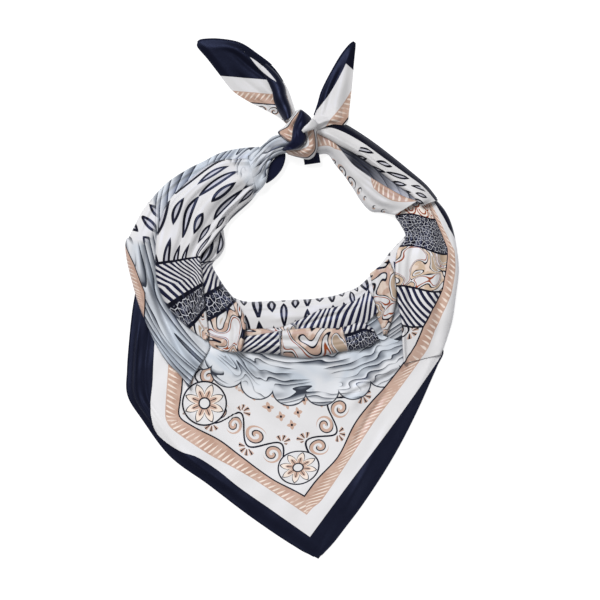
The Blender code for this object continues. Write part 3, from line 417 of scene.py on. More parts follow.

# %% [markdown]
# ## Pleats and creases
#
# Gathered silk is never smooth: it has long soft troughs where it is drawn towards the knot, and
# short sharp creases where it turns.  They could be sculpted, or come from a noise, but the eye
# reads where each one starts and dies away, so they are placed one by one.  A row says where a fold
# starts and ends across the stretch (0 to 1), where it starts and ends along it (0 to 1), its half
# width and its height in millimetres.  A trough has a negative height.

# %% Folds, from the broad ones to the sharp ones
FOLDS = {
    "left_shoulder": [
        (0.14, 0.10, 0.02, 0.60, 3.0, -1.5),
        (0.30, 0.30, 0.00, 0.55, 4.0, -2.4),
        (0.50, 0.50, 0.00, 0.70, 4.5, 1.6),
        (0.66, 0.62, 0.02, 0.80, 4.5, -2.6),
        (0.84, 0.80, 0.05, 0.90, 4.0, 1.4),
        (0.22, 0.20, 0.00, 0.42, 1.6, 0.9),
        (0.40, 0.37, 0.03, 0.48, 1.8, -0.9),
        (0.57, 0.60, 0.00, 0.36, 1.5, -0.8),
        (0.74, 0.72, 0.10, 0.52, 1.8, 0.8),
        (0.90, 0.93, 0.12, 0.66, 1.6, -0.9),
        (0.30, 0.46, 0.52, 0.95, 2.0, -0.9),
        (0.62, 0.52, 0.55, 0.98, 2.2, 0.8),
        (0.78, 0.66, 0.58, 0.97, 1.5, -0.8),
    ],
    "left_inner_fold": [
        (0.34, 0.40, 0.02, 0.40, 2.6, -2.2),
        (0.55, 0.60, 0.35, 0.98, 4.0, -2.0),
        (0.25, 0.30, 0.55, 0.98, 3.0, -1.2),
        (0.62, 0.50, 0.05, 0.32, 1.5, 0.9),
        (0.40, 0.48, 0.60, 0.99, 1.4, 0.7),
    ],
    "left_drape": [
        (0.22, 0.26, 0.02, 0.95, 3.0, -2.2),
        (0.40, 0.42, 0.00, 0.90, 3.0, 1.2),
        (0.55, 0.55, 0.00, 0.90, 3.0, -2.6),
        (0.78, 0.74, 0.05, 0.90, 3.5, -1.6),
        (0.30, 0.34, 0.10, 0.80, 1.3, 0.8),
        (0.66, 0.62, 0.05, 0.70, 1.4, 0.8),
        (0.88, 0.82, 0.15, 0.85, 1.6, -0.8),
    ],
    "left_back_strip": [
        (0.42, 0.50, 0.05, 0.95, 3.0, -1.8),
        (0.72, 0.74, 0.02, 0.80, 2.6, 1.0),
        (0.28, 0.36, 0.40, 0.98, 1.8, -0.9),
        (0.60, 0.62, 0.20, 0.85, 1.3, -0.7),
    ],
    "front_panel": [
        (0.045, 0.035, 0.10, 0.52, 3.0, 1.5),
        (0.105, 0.090, 0.05, 0.50, 4.0, -0.9),
        (0.20, 0.36, 0.08, 0.55, 7.0, 1.6),
        (0.30, 0.44, 0.10, 0.60, 6.0, -1.5),
        (0.70, 0.62, 0.08, 0.45, 6.0, 1.4),
        (0.82, 0.72, 0.30, 0.60, 5.0, -1.2),
        (0.44, 0.40, 0.04, 0.30, 4.0, -0.9),
        (0.56, 0.60, 0.03, 0.26, 3.5, 0.8),
        (0.63, 0.67, 0.05, 0.34, 2.5, -0.8),
        (0.06, 0.10, 0.30, 0.72, 5.0, 0.8),
        (0.88, 0.92, 0.42, 0.80, 5.0, 0.6),
    ],
    "neck_roll": [
        (0.45, 0.50, 0.05, 0.45, 3.0, -1.3),
        (0.60, 0.40, 0.45, 0.95, 3.0, -1.1),
        (0.25, 0.32, 0.10, 0.60, 1.5, -0.6),
        (0.72, 0.66, 0.15, 0.55, 1.4, 0.6),
    ],
    "upper_roll": [
        (0.45, 0.50, 0.10, 0.90, 2.4, -1.0),
        (0.68, 0.30, 0.30, 0.95, 1.2, -0.6),
    ],
    "lower_roll": [
        (0.25, 0.65, 0.04, 0.55, 3.2, -1.8),
        (0.65, 0.30, 0.45, 0.97, 3.2, -1.5),
        (0.50, 0.80, 0.10, 0.50, 1.5, 0.7),
        (0.80, 0.55, 0.50, 0.95, 1.5, -0.7),
    ],
    "right_stripe_fold": [
        (0.35, 0.40, 0.05, 0.90, 2.6, -1.4),
        (0.70, 0.66, 0.05, 0.90, 2.6, -1.0),
    ],
    "right_shoulder": [
        (0.30, 0.35, 0.05, 0.85, 4.5, -2.2),
        (0.62, 0.60, 0.02, 0.80, 5.0, 1.2),
        (0.78, 0.80, 0.05, 0.95, 4.0, -1.6),
        (0.16, 0.12, 0.10, 0.40, 1.8, -0.8),
        (0.46, 0.50, 0.05, 0.45, 1.8, -0.7),
        (0.70, 0.68, 0.30, 0.75, 1.8, 0.6),
        (0.90, 0.90, 0.10, 0.60, 1.8, -0.7),
    ],
    "right_inner_fold": [
        (0.30, 0.34, 0.05, 0.95, 2.4, -1.8),
        (0.68, 0.62, 0.05, 0.95, 2.4, -1.6),
    ],
    "right_upper_leaf": [
        (0.60, 0.55, 0.05, 0.90, 3.0, -1.8),
        (0.32, 0.30, 0.00, 0.50, 2.6, -1.0),
        (0.78, 0.74, 0.02, 0.70, 1.3, 0.7),
        (0.45, 0.48, 0.00, 0.45, 1.3, -0.6),
    ],
    "right_lower_leaf": [
        (0.34, 0.30, 0.10, 0.95, 3.0, -1.6),
        (0.58, 0.60, 0.12, 0.95, 2.6, -1.6),
        (0.80, 0.80, 0.12, 0.95, 2.4, -1.4),
        (0.20, 0.16, 0.00, 0.45, 1.3, -0.6),
    ],
    "left_gather": [
        (0.20, 0.22, 0.08, 0.97, 2.2, -1.5),
        (0.40, 0.42, 0.05, 0.97, 2.2, -2.0),
        (0.60, 0.62, 0.05, 0.97, 2.2, -1.6),
        (0.80, 0.80, 0.10, 0.97, 2.2, -1.7),
        (0.30, 0.30, 0.00, 0.70, 1.2, 0.6),
        (0.70, 0.72, 0.10, 0.80, 1.2, 0.6),
    ],
    "left_ear": [
        (0.34, 0.35, 0.00, 0.75, 3.0, -1.2),
        (0.72, 0.60, 0.00, 0.60, 2.6, -1.0),
        (0.52, 0.48, 0.00, 0.40, 1.6, 0.9),
        (0.88, 0.80, 0.00, 0.42, 1.4, -0.8),
    ],
    "right_ear": [
        (0.30, 0.35, 0.00, 0.70, 3.5, -1.8),
        (0.62, 0.62, 0.00, 0.60, 3.5, 1.2),
        (0.46, 0.50, 0.00, 0.38, 1.5, -0.7),
        (0.82, 0.78, 0.00, 0.40, 1.5, -0.8),
    ],
    "knot_left_wrap": [(0.40, 0.45, 0.20, 0.95, 1.6, -0.9), (0.70, 0.72, 0.10, 0.90, 1.2, -0.6)],
    "knot_lower_loop": [(0.45, 0.40, 0.05, 0.95, 1.5, -0.8), (0.72, 0.70, 0.10, 0.90, 1.2, -0.6)],
    "knot_front_wrap": [(0.40, 0.42, 0.05, 0.95, 1.8, -0.7), (0.68, 0.64, 0.20, 0.95, 1.3, -0.5)],
}
print("folds placed by hand:", sum(len(rows) for rows in FOLDS.values()))

# %% [markdown]
# Where a fold lies over the cloth beside it, the surface steps up.  A row gives the line of the
# step in plan, its height, and how far to the left of the line it takes to die away.  Where a
# stretch ends in a fold instead of a hem, its edge is rounded down: a row gives the radius and
# the fall at the first edge, the last edge, the start and the end.

# %% Steps and rounded edges
STEPS = {
    "front_panel": [
        (38, -97, 110, -62, 3.4, 20.0),
        (-86, -50, -104, -96, 2.0, 16.0),
    ],
    "left_drape": [(-128, 40, -98, -82, 1.6, 9.0)],
    "right_shoulder": [(99, 78, 108, 96, 1.6, 10.0)],
}
STEP_WIDTH = 4.0        # how wide the rise itself is, in mm
FLAT = (0.0, 0.0)       # an edge that isn't rounded
EDGES = {
    "left_inner_fold": ((6, 5.0), FLAT, FLAT, (4, 3.0)),
    "right_inner_fold": ((3, 2.0), (3, 2.0), FLAT, FLAT),
    "left_back_strip": ((7, 3.0), FLAT, FLAT, FLAT),
    "left_drape": ((6, 8.0), (5, 3.0), FLAT, (4, 3.0)),
    "neck_roll": ((7, 7.5), FLAT, FLAT, FLAT),
    "right_shoulder": ((5, 4.5), (7, 4.5), FLAT, FLAT),
    "right_stripe_fold": ((4, 3.0), (4, 3.0), FLAT, FLAT),
    "upper_roll": ((4, 2.5), FLAT, FLAT, FLAT),
    "lower_roll": ((5, 3.0), (5, 4.0), FLAT, (3, 2.0)),
    "left_shoulder": ((6, 5.5), (7, 6.5), FLAT, (4, 3.0)),
    "right_lower_leaf": ((5, 3.5), (4, 2.0), FLAT, FLAT),
    "right_upper_leaf": ((5, 4.5), (5, 4.0), FLAT, FLAT),
    "left_gather": ((5, 4.0), (5, 4.5), FLAT, FLAT),
    "left_ear_turn": ((3, 2.0), (4, 4.0), FLAT, FLAT),
    "knot_left_wrap": ((5, 6.0), FLAT, (3, 3.0), FLAT),
    "knot_lower_loop": (FLAT, (4, 5.0), FLAT, FLAT),
    "knot_tongue": ((3, 2.0), (3, 2.5), FLAT, (3, 3.0)),
    "knot_front_wrap": ((3, 3.0), (4, 4.0), (3, 4.0), (3, 4.0)),
}
print("stretches with rounded edges:", len(EDGES))

# %% [markdown]
# ## From a table to a surface
#
# A stretch of cloth is a grid that bends in space.  It could be a NURBS surface, but its folds
# have to be finer than its control points, so the smooth surface is worked out at every point of
# a fine grid instead, with numpy, and the folds are added as heights.  The grid lines crowd
# towards the edges, where the cloth turns round a fold.

# %% A smooth surface through a table
EVEN, CROWDED = 0.45, 0.55              # shares of even spacing, and of spacing that crowds


def spaced(cells):
    """Places from 0 to 1 that crowd towards both ends."""
    even = np.linspace(0.0, 1.0, cells + 1)
    return EVEN * even + CROWDED * 0.5 * (1.0 - np.cos(np.pi * even))


def weights(count, places):
    """How much each of `count` points counts at each place on a smooth curve through them."""
    last = count - 1
    result = np.zeros((len(places), count))
    for row, place in enumerate(np.clip(places, 0.0, 1.0) * last):
        k = min(int(place), last - 1)
        f = place - k
        shares = (-f + 2 * f ** 2 - f ** 3, 2 - 5 * f ** 2 + 3 * f ** 3,
                  f + 4 * f ** 2 - 3 * f ** 3, f ** 3 - f ** 2)
        for point, share in zip(range(k - 1, k + 3), shares):
            inside = min(max(point, 0), last)
            if point != inside:                    # straight on past an end
                result[row, inside] += share
                result[row, inside + (1 if point < 0 else -1)] -= 0.5 * share
                share = 0.0
            result[row, inside] += 0.5 * share
    return result


def smooth_surface(table, along, across):
    """A grid of points (rows along, columns across) on the surface through a table."""
    points = np.array(table, float)
    if points.shape[1] == 2:
        points = np.stack([points[:, 0], points.mean(axis=1), points[:, 1]], axis=1)
    rows = weights(points.shape[0], spaced(along))
    columns = weights(points.shape[1], spaced(across))
    return np.einsum("ur,rcd,vc->uvd", rows, points, columns, optimize=True)


roll = smooth_surface(NECK_ROLL, 40, 8)
print("the neck roll reaches", roll.min(axis=(0, 1)).round(1), "to", roll.max(axis=(0, 1)).round(1))

# %% Soft starts and ends
FOLD_DEPTH = 1.40       # every fold is this many times as deep as its table says
SOFT_END = 0.25         # the share of a fold's length over which each of its ends fades


def soft(share):
    """Rises smoothly from 0 to 1."""
    share = np.clip(share, 0.0, 1.0)
    return share * share * (3 - 2 * share)


def window(places, start, end):
    """1 inside a span and 0 outside it, with soft ends."""
    edge = SOFT_END * (end - start)
    return soft(np.minimum((places - start) / edge, (end - places) / edge))


print("halfway along a fold it has", window(0.5, 0.0, 1.0), "of its height")


# %% Steps and rounded edges as heights
def lengths(grid):
    """The length in plan of each line along a grid, and of each line across it."""
    steps = [np.linalg.norm(np.diff(grid[:, :, :2], axis=axis), axis=2) for axis in (0, 1)]
    return [step.cumsum(axis=axis).take([-1], axis=axis) for axis, step in enumerate(steps)]


def fallen(distance, radius, fall):
    """How far an edge of this radius has come down at a distance inside it."""
    if radius == 0:
        return 0.0
    share = np.clip(1.0 - distance / radius, 0.0, 1.0)
    return fall * (1.0 - np.sqrt(1.0 - share ** 2))


def step_up(grid, x0, y0, x1, y1, height, fade):
    """The height that a fold lying over its neighbour adds."""
    run = math.dist((x0, y0), (x1, y1))
    dx, dy = (x1 - x0) / run, (y1 - y0) / run
    x, y = grid[:, :, 0] - x0, grid[:, :, 1] - y0
    left = y * dx - x * dy
    rise = soft(left / STEP_WIDTH + 0.5) * np.exp(-np.maximum(left, 0.0) / fade)
    return height * rise * window((x * dx + y * dy) / run, -0.02, 1.02)


print("1 mm inside an edge rounded over 5 mm, the cloth is down", fallen(1.0, 5.0, 3.0).round(2), "of 3 mm")

# %% [markdown]
# A hem that lies free keeps the cloth down beside it, because nothing is under it.  Loose cloth
# is also a little uneven everywhere.

# %% Free edges, and a stretch with its folds
FREE_EDGES = {
    # hems that lie free: how far in, in mm, they hold the cloth down at the first edge, last edge, end
    "front_panel": (16.0, 16.0, 0.0),
    "left_ear": (10.0, 8.0, 10.0),
    "right_ear": (8.0, 8.0, 10.0),
}
PRESSED = 0.35          # the share of its height that is left at a free edge


def pressed(distance, reach):
    """How much of the height is left at a distance from a free edge."""
    return PRESSED + (1 - PRESSED) * soft(distance / reach) if reach else 1.0


WAVE_HEIGHT = 0.6       # of the unevenness of loose cloth, in mm


def uneven(grid):
    """Cloth is never quite flat.  These waves are a few centimetres long, and their lengths share
    no factor, so that they don't repeat."""
    x, y = grid[:, :, 0], grid[:, :, 1]
    return WAVE_HEIGHT * np.sin(x / 7.3 + 1.7 * np.sin(y / 19)) * np.sin(y / 11 - 0.9 * np.sin(x / 23))


def shaped(name, table, along, across):
    """The middle surface of a stretch, with its folds."""
    grid = smooth_surface(table, along, across)
    u, v = np.meshgrid(spaced(along), spaced(across), indexing="ij")
    length, width = lengths(grid)
    rise = np.zeros(u.shape)
    for v0, v1, u0, u1, half, height in FOLDS.get(name, ()):
        off = (v - v0 - (v1 - v0) * u) * width / half
        rise += FOLD_DEPTH * height * np.exp(-off ** 2) * window(u, u0, u1)
    for step in STEPS.get(name, ()):
        rise += step_up(grid, *step)
    first, last, start, end = EDGES.get(name, (FLAT,) * 4)
    rise -= fallen(v * width, *first) + fallen((1 - v) * width, *last)
    rise -= fallen(u * length, *start) + fallen((1 - u) * length, *end)
    if name in FREE_EDGES or name in FOLDS:
        rise += uneven(grid)
    grid[:, :, 2] += rise
    edges = FREE_EDGES.get(name, (0.0, 0.0, 0.0))
    grid[:, :, 2] *= pressed(v * width, edges[0]) * pressed((1 - v) * width, edges[1])
    grid[:, :, 2] *= pressed((1 - u) * length, edges[2])
    return grid


trial = shaped("left_shoulder", LEFT_SHOULDER, 30, 12)
print("the left shoulder is", trial[..., 2].max().round(1), "mm high")

# %% [markdown]
# ## Laying one stretch on the others
#
# Real cloth rests on what is under it.  The stretches could be pushed apart by a cloth solver,
# but they only ever lie on top of each other here, so a map of heights is enough: it holds the
# highest cloth so far at every half millimetre of the table.  A new stretch is lifted where it
# would sink into the map, softly, over the few millimetres that silk needs to bend, and is then
# drawn into the map itself.

# %% The map of what is laid so far
PITCH = 0.5                             # one cell of the map, in mm
FINE_PITCH = 0.7 * PITCH                # close enough together to miss no cell
CORNER = (-180.0, -270.0)               # the map's lowest x and y
laid = np.zeros((720, 1080))            # 360 x 540 mm, bare table at first


def cells(grid):
    """The map cell that each point is over."""
    x = np.clip(((grid[..., 0] - CORNER[0]) / PITCH).astype(int), 0, laid.shape[0] - 1)
    y = np.clip(((grid[..., 1] - CORNER[1]) / PITCH).astype(int), 0, laid.shape[1] - 1)
    return x, y


def nearby(values, reaches, gather):
    """The highest value (np.max) or the mean (np.mean) within so many rows and columns."""
    for axis, reach in enumerate(reaches):
        padded = np.pad(values, [(reach, reach) if k == axis else (0, 0) for k in (0, 1)], mode="edge")
        size = values.shape[axis]
        values = gather([padded.take(range(k, k + size), axis=axis) for k in range(2 * reach + 1)], axis=0)
    return values


def remember(grid, thick=SILK):
    """Draws the upper side of a grid into the map."""
    rows, columns = grid.shape[:2]
    length, width = lengths(grid)
    fine_u = weights(rows, np.linspace(0, 1, int(length.max() / FINE_PITCH) + 2))
    fine_v = weights(columns, np.linspace(0, 1, int(width.max() / FINE_PITCH) + 2))
    fine = np.einsum("ur,rcd,vc->uvd", fine_u, grid, fine_v, optimize=True)
    np.maximum.at(laid, cells(fine), fine[:, :, 2] + thick / 2)


REACH = 5.0             # how far silk takes to bend over an edge, in mm
BESIDE = (2, 2)         # a point also rests on what is this many cells beside it


def settled(grid):
    """Lifts a grid clear of everything laid so far."""
    reaches = [max(1, round(0.5 * REACH * count / float(np.median(size))))
               for count, size in zip(grid.shape, lengths(grid))]
    below = nearby(laid, BESIDE, np.max)[cells(grid)]
    need = np.maximum(below + GAP + SILK / 2 - grid[:, :, 2], 0.0)
    lift = nearby(need, [2 * reach for reach in reaches], np.max)
    lift = nearby(nearby(lift, reaches, np.mean), reaches, np.mean)
    grid = grid.copy()
    grid[:, :, 2] += lift
    return grid


print("the map covers", laid.shape[0] * PITCH, "x", laid.shape[1] * PITCH, "mm")

# %% [markdown]
# ## Making one silk shell
#
# A shell starts as a flat bmesh grid, whose points are moved to the surface.  Its UV map is not
# an unwrapping but the cloth's own place in the print: the distances in metres from two edges of
# the square.  So a border that is 18 mm wide on the cloth is 18 mm wide on every fold.  A
# Solidify modifier gives the shell its two sides and its rim.

# %% One shell
def finished(thing, slot, finish):
    """What every piece gets: its material, and the body that it rides on.  Its slot is not used."""
    thing.data.materials.clear()
    thing.data.materials.append(finish)
    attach(thing, "root")


def piece(name, form):
    """A new object with the mesh of a bmesh, smoothly shaded."""
    for face in form.faces:
        face.smooth = True
    mesh = bpy.data.meshes.new(name)
    form.to_mesh(mesh)
    form.free()
    thing = bpy.data.objects.new(name, mesh)
    bpy.context.scene.collection.objects.link(thing)
    return thing


def cloth_mesh(name, grid, place):
    """A mesh through a grid of points in mm, with the cloth's place as its UV map."""
    rows, columns = grid.shape[:2]
    cloth = bmesh.new()
    bmesh.ops.create_grid(cloth, x_segments=columns - 1, y_segments=rows - 1, size=1.0)
    cloth.verts.ensure_lookup_table()
    across = [round((v.co.x + 1) / 2 * (columns - 1)) for v in cloth.verts]
    along = [round((v.co.y + 1) / 2 * (rows - 1)) for v in cloth.verts]
    positions = metres(grid)
    for vert, i, j in zip(cloth.verts, along, across):
        vert.co = positions[i, j]
    cloth.normal_update()
    if sum(face.normal.z * face.calc_area() for face in cloth.faces) < 0:
        bmesh.ops.reverse_faces(cloth, faces=cloth.faces)
    layer = cloth.loops.layers.uv.new("cloth")
    for face in cloth.faces:
        for loop in face.loops:
            k = loop.vert.index
            loop[layer].uv = place[along[k], across[k]] * MM
    return piece(name, cloth)


# %% [markdown]
# ## The rolled hem
#
# The edge of a good scarf is rolled by hand towards the face and slip-stitched, which leaves a
# plump round edge 1.5 mm wide with a tiny stitch every few millimetres.  A flattened edge would
# be simpler, but the roll catches the light, so it is a tube along the edge of the shell: a
# curve with a round bevel, kept as a mesh.  The stitches are small beads, all in one mesh.

# %% A rolled edge
HEM_RADIUS = 0.7                # all of these in mm
HEM_PITCH = 2.0                 # between the points of a hem's curve
OFF_FLOOR = 0.02                # what is left between a hem and the floor


def even_line(line, pitch):
    """The same line with a point at every pitch."""
    run = np.concatenate([[0.0], np.linalg.norm(np.diff(line, axis=0), axis=1).cumsum()])
    places = np.linspace(0.0, run[-1], max(2, int(run[-1] / pitch) + 1))
    return np.stack([np.interp(places, run, line[:, k]) for k in range(3)], axis=1)


def hem_tube(name, line, slot, finish):
    """A rolled edge along a line of points in mm."""
    path = bpy.data.curves.new(name, "CURVE")
    path.dimensions = "3D"
    path.bevel_depth = HEM_RADIUS * MM
    path.bevel_resolution = 2
    path.use_fill_caps = True
    points = metres(even_line(line, HEM_PITCH))
    strand = path.splines.new("POLY")
    strand.points.add(len(points) - 1)
    for point, place in zip(strand.points, points):
        point.co = (*place, 1.0)
    thing = bpy.data.objects.new(name + "_path", path)
    bpy.context.scene.collection.objects.link(thing)
    bpy.context.view_layer.update()
    shown = thing.evaluated_get(bpy.context.evaluated_depsgraph_get())
    rolled = bmesh.new()
    rolled.from_mesh(bpy.data.meshes.new_from_object(shown))
    bpy.data.objects.remove(thing)
    tube = piece(name, rolled)
    finished(tube, slot, finish)
    return tube


print("a hem is", 2 * HEM_RADIUS, "mm thick")

# %% Slip stitches
STITCH_PITCH = 3.6              # from stitch to stitch, in mm
STITCH = (0.75, 0.22, 0.20)     # half a stitch's length, width and height
STITCH_IN, STITCH_UP = 0.9, 0.25        # its middle, in from the edge and up


def stitches(name, line, inner, slot, finish):
    """A row of slip stitches on a line, each slanting to the line beside it."""
    row = bmesh.new()
    places = metres(even_line(line, STITCH_PITCH))
    beside = metres(even_line(inner, STITCH_PITCH)[:len(places)])
    for place, other in zip(places[1:-1], beside[1:-1]):
        way = Vector(other - place).normalized()
        bead = Matrix.Translation(Vector(place) + way * STITCH_IN * MM + Vector((0, 0, STITCH_UP * MM)))
        bead = bead @ way.to_track_quat("X", "Z").to_matrix().to_4x4() @ Matrix.Diagonal((*STITCH, 1.0))
        bmesh.ops.create_uvsphere(row, u_segments=6, v_segments=4, radius=MM, matrix=bead)
    thing = piece(name, row)
    finished(thing, slot, finish)
    return thing


print("stitches on a side of the square:", int(SQUARE / STITCH_PITCH))

# %% Where the hems are
HEMS = {
    # node: its hemmed edges, each with the stretch of it that is a hem (0 to 1)
    "front_panel": (("first", 0.0, 1.0), ("last", 0.0, 1.0)),
    "left_ear": (("first", 0.42, 1.0),),
    "right_ear": (("first", 0.22, 1.0),),
    "right_upper_leaf": (("first", 0.10, 0.96),),
    "left_tab": (("last", 0.1, 1.0),),
    "knot_under_corner": (("last", 0.0, 1.0),),
}


def hemmed(node, grid, slot, finish):
    """The hems and stitches of a stretch, each hem on the edge of a grid and a line beside it."""
    made = []
    for edge, start, end in HEMS.get(node, ()):
        columns = grid[:, :4] if edge == "first" else grid[:, :-5:-1]
        low, high = (round(share * (len(grid) - 1)) for share in (start, end))
        line = columns[low:high + 1, 0].copy()
        line[:, 2] = np.maximum(line[:, 2], HEM_RADIUS + OFF_FLOOR)
        made.append(hem_tube(f"{node}_{edge}_hem", line, slot, finish))
        made.append(stitches(f"{node}_{edge}_stitches", line, columns[low:high + 1, 3], slot, finish))
    return made


print("hems that show:", sum(len(edges) for edges in HEMS.values()))


def silk_shell(node, grid, place, slot, finish, hem_finish, rests_on):
    """A shell of silk that stands for a node, with the cut of what shows of it."""
    thing = cloth_mesh(node + "_silk", grid, place)
    shell = thing.modifiers.new("thickness", "SOLIDIFY")
    shell.thickness = SILK * MM
    shell.offset = 0.0
    finished(thing, slot, finish)
    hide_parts(node)
    hemmed(node, grid, "navy_silk", hem_finish)
    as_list(rests_on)

# %% [markdown]
# ## The print
#
# The scarf is screen-printed silk twill.  The print could be an image, but then it would blur on
# the narrow folds, so it is drawn by sums on the cloth's own coordinates: e and f, the distances
# in millimetres from two edges of the square.  The smaller of them, d, is the distance from the
# hem, which gives the borders, and the larger one, a, runs along the border.
#
# A material is a web of nodes.  One function adds a node with its settings and links, and a small
# class lets the sums be written as sums.

# %% Colours and nodes
def linear(code):
    """An sRGB colour such as 1a1b2e as linear red, green, blue and alpha."""
    parts = [int(code[k:k + 2], 16) / 255 for k in (0, 2, 4)]
    return tuple(c / 12.92 if c < 0.04045 else ((c + 0.055) / 1.055) ** 2.4 for c in parts) + (1.0,)


def add_node(tree, kind, inputs=(), output=0, **settings):
    """Adds a node with its settings, links or sets its inputs, and gives one of its outputs."""
    made = tree.nodes.new(kind)
    for key, value in settings.items():
        setattr(made, key, value)
    for key, value in (inputs.items() if isinstance(inputs, dict) else enumerate(inputs)):
        value = getattr(value, "socket", value)
        if isinstance(value, bpy.types.NodeSocket):
            tree.links.new(value, made.inputs[key])
        else:
            made.inputs[key].default_value = value
    return made.outputs[output]


print("mid grey in linear light:", round(linear("808080")[0], 3))


# %% Sums on sockets
PRINT_EDGE = 0.3        # how soft the edge of a printed colour is, in mm


class Number:
    """A value that varies over the cloth, for writing sums with."""

    def __init__(self, tree, socket):
        self.tree = tree
        self.socket = socket

    def do(self, operation, *others, clamp=False):
        """The result of one Math node."""
        return Number(self.tree, add_node(self.tree, "ShaderNodeMath", (self, *others),
                                          operation=operation, use_clamp=clamp))

    def __add__(self, other):
        return self.do("ADD", other)

    def __sub__(self, other):
        return self.do("SUBTRACT", other)

    def __mul__(self, other):
        return self.do("MULTIPLY", other)

    def __truediv__(self, other):
        return self.do("DIVIDE", other)

    def __abs__(self):
        return self.do("ABSOLUTE")

    def least(self, other):
        """The smaller of the two at each point."""
        return self.do("MINIMUM", other)

    def most(self, other):
        """The larger of the two at each point."""
        return self.do("MAXIMUM", other)

    def whole(self):
        """The whole number below it."""
        return self.do("FLOOR")

    def part(self):
        """What is left over that whole number."""
        return self.do("FRACT")

    def sine(self):
        """Its sine, in radians."""
        return self.do("SINE")

    def under(self, limit, softness=PRINT_EDGE):
        """1 where it is under a limit, 0 where it is over, with an edge this soft."""
        return (self - limit).do("MULTIPLY_ADD", -1 / softness, 0.5, clamp=True)

    def over(self, limit, softness=PRINT_EDGE):
        """1 where it is over a limit, 0 where it is under."""
        return (self - limit).do("MULTIPLY_ADD", 1 / softness, 0.5, clamp=True)

    def between(self, low, high, softness=PRINT_EDGE):
        """1 between two limits."""
        return abs(self - (low + high) / 2).under((high - low) / 2, softness)


print("the edge of a colour is", PRINT_EDGE, "mm soft")


# %% Distances, directions, paint and clouds
def hypotenuse(p, q):
    """How far (p, q) is from the origin."""
    return (p * p + q * q).do("SQRT")


def turn(p, q):
    """The direction of (p, q), from 0 to 1 for a whole turn."""
    return q.do("ARCTAN2", p) / math.tau + 0.5


def paint(below, mask, colour):
    """One colour laid over what is below it, where the mask is 1."""
    below = linear(below) if isinstance(below, str) else below
    colour = linear(colour) if isinstance(colour, str) else colour
    return add_node(mask.tree, "ShaderNodeMix", {0: mask, 6: below, 7: colour}, output=2, data_type="RGBA")


def cloudy(tree, place, size, detail=2.0, distortion=0.0):
    """Soft clouds of about this size in mm, from 0 to 1."""
    return Number(tree, add_node(tree, "ShaderNodeTexNoise",
                                 {"Vector": place, "Scale": 1 / (size * MM), "Detail": detail,
                                  "Distortion": distortion}, noise_dimensions="2D"))


def parts_of(tree, place):
    """The first two coordinates of a place, in mm."""
    split = tree.nodes.new("ShaderNodeSeparateXYZ")
    tree.links.new(place, split.inputs[0])
    return [Number(tree, socket) * (1 / MM) for socket in split.outputs[:2]]


# %% Colours of the print
NAVY, OFF_WHITE, PEACH, PEACH_LIGHT = "0f101c", "dbdadb", "c3a594", "e8dace"
TAUPE, GREY_BLUE, SLATE, RUST, INK = "b5a08a", "c0cad5", "34383f", "94481c", "0d0c12"
print("navy in linear light:", [round(c, 3) for c in linear(NAVY)])

# %% [markdown]
# ## Printed silk
#
# Silk twill has a soft lustre: its floats are nearly parallel, so highlights are wide and run
# along a fold.  A roughness of about 0.4 and an IOR of 1.54 give that.  The dye tints the
# highlights blue, which shows on the navy.  The twill's ribs are 0.3 mm apart and would not show,
# so they are drawn 0.9 mm apart, measured along a side of the square, and very shallow.  The print
# is the same on both faces.  The gathered stretches, the knot and the ears have painted shade:
# their colour is multiplied by a share below 1, so that they come out darker than the flat panels.

# %% One finish for every print
TWILL = 0.9                             # distance between ribs along a side, in mm
SLUB = 6.0                              # size of the slightly thicker places in the yarn, in mm
LUSTRE = (0.42, 0.51, 1.0, 1.0)         # the blue of the highlights
print("ribs drawn on a side of the square:", int(SQUARE / TWILL))


def printed_silk(name, draw, painted_shade_factor=1.0, gloss=0.22):
    """Silk twill with a print.  draw gets the tree, the place, e and f, and gives a colour.  Gloss
    is how strong the highlights are."""
    made = bpy.data.materials.new(name)
    made.use_nodes = True
    tree = made.node_tree
    shader = tree.nodes["Principled BSDF"]
    place = add_node(tree, "ShaderNodeUVMap", uv_map="cloth")
    e, f = parts_of(tree, place)
    # painted shade: the print is multiplied by a grey, which darkens the gathered stretches, the knot and
    # the ears
    colour = add_node(tree, "ShaderNodeMix",
                      {0: 1.0, 6: draw(tree, place, e, f), 7: (painted_shade_factor, painted_shade_factor, painted_shade_factor, 1.0)},
                      output=2, data_type="RGBA", blend_type="MULTIPLY")
    tree.links.new(colour, shader.inputs["Base Color"])
    ribs = ((e + f) * (math.tau / TWILL)).sine()
    slubs = cloudy(tree, place, SLUB)
    bump = add_node(tree, "ShaderNodeBump",
                    {"Strength": 0.25, "Distance": 0.2 * MM, "Height": ribs * 0.25 + slubs})
    tree.links.new(bump, shader.inputs["Normal"])
    tree.links.new((slubs * 0.12 + 0.36).socket, shader.inputs["Roughness"])
    for socket, value in {"IOR": 1.54, "Specular IOR Level": gloss, "Specular Tint": LUSTRE,
                          "Sheen Weight": 0.06, "Sheen Tint": LUSTRE, "Sheen Roughness": 0.4}.items():
        shader.inputs[socket].default_value = value
    return made


# %% [markdown]
# ## Leaves
#
# Slim leaves with ink outlines stand in staggered rows on much of the scarf.  Their lengths vary,
# by a sine of the row's and the leaf's number, which is as good as chance here.

# %% Rows of leaves
LEAF_PITCH, LEAF_REPEAT = 10.0, 38.0    # from row to row, and from leaf to leaf
LEAF_OUTSIDE, LEAF_INSIDE = 3.5, 1.2    # half the width of a leaf, with its outline and within it


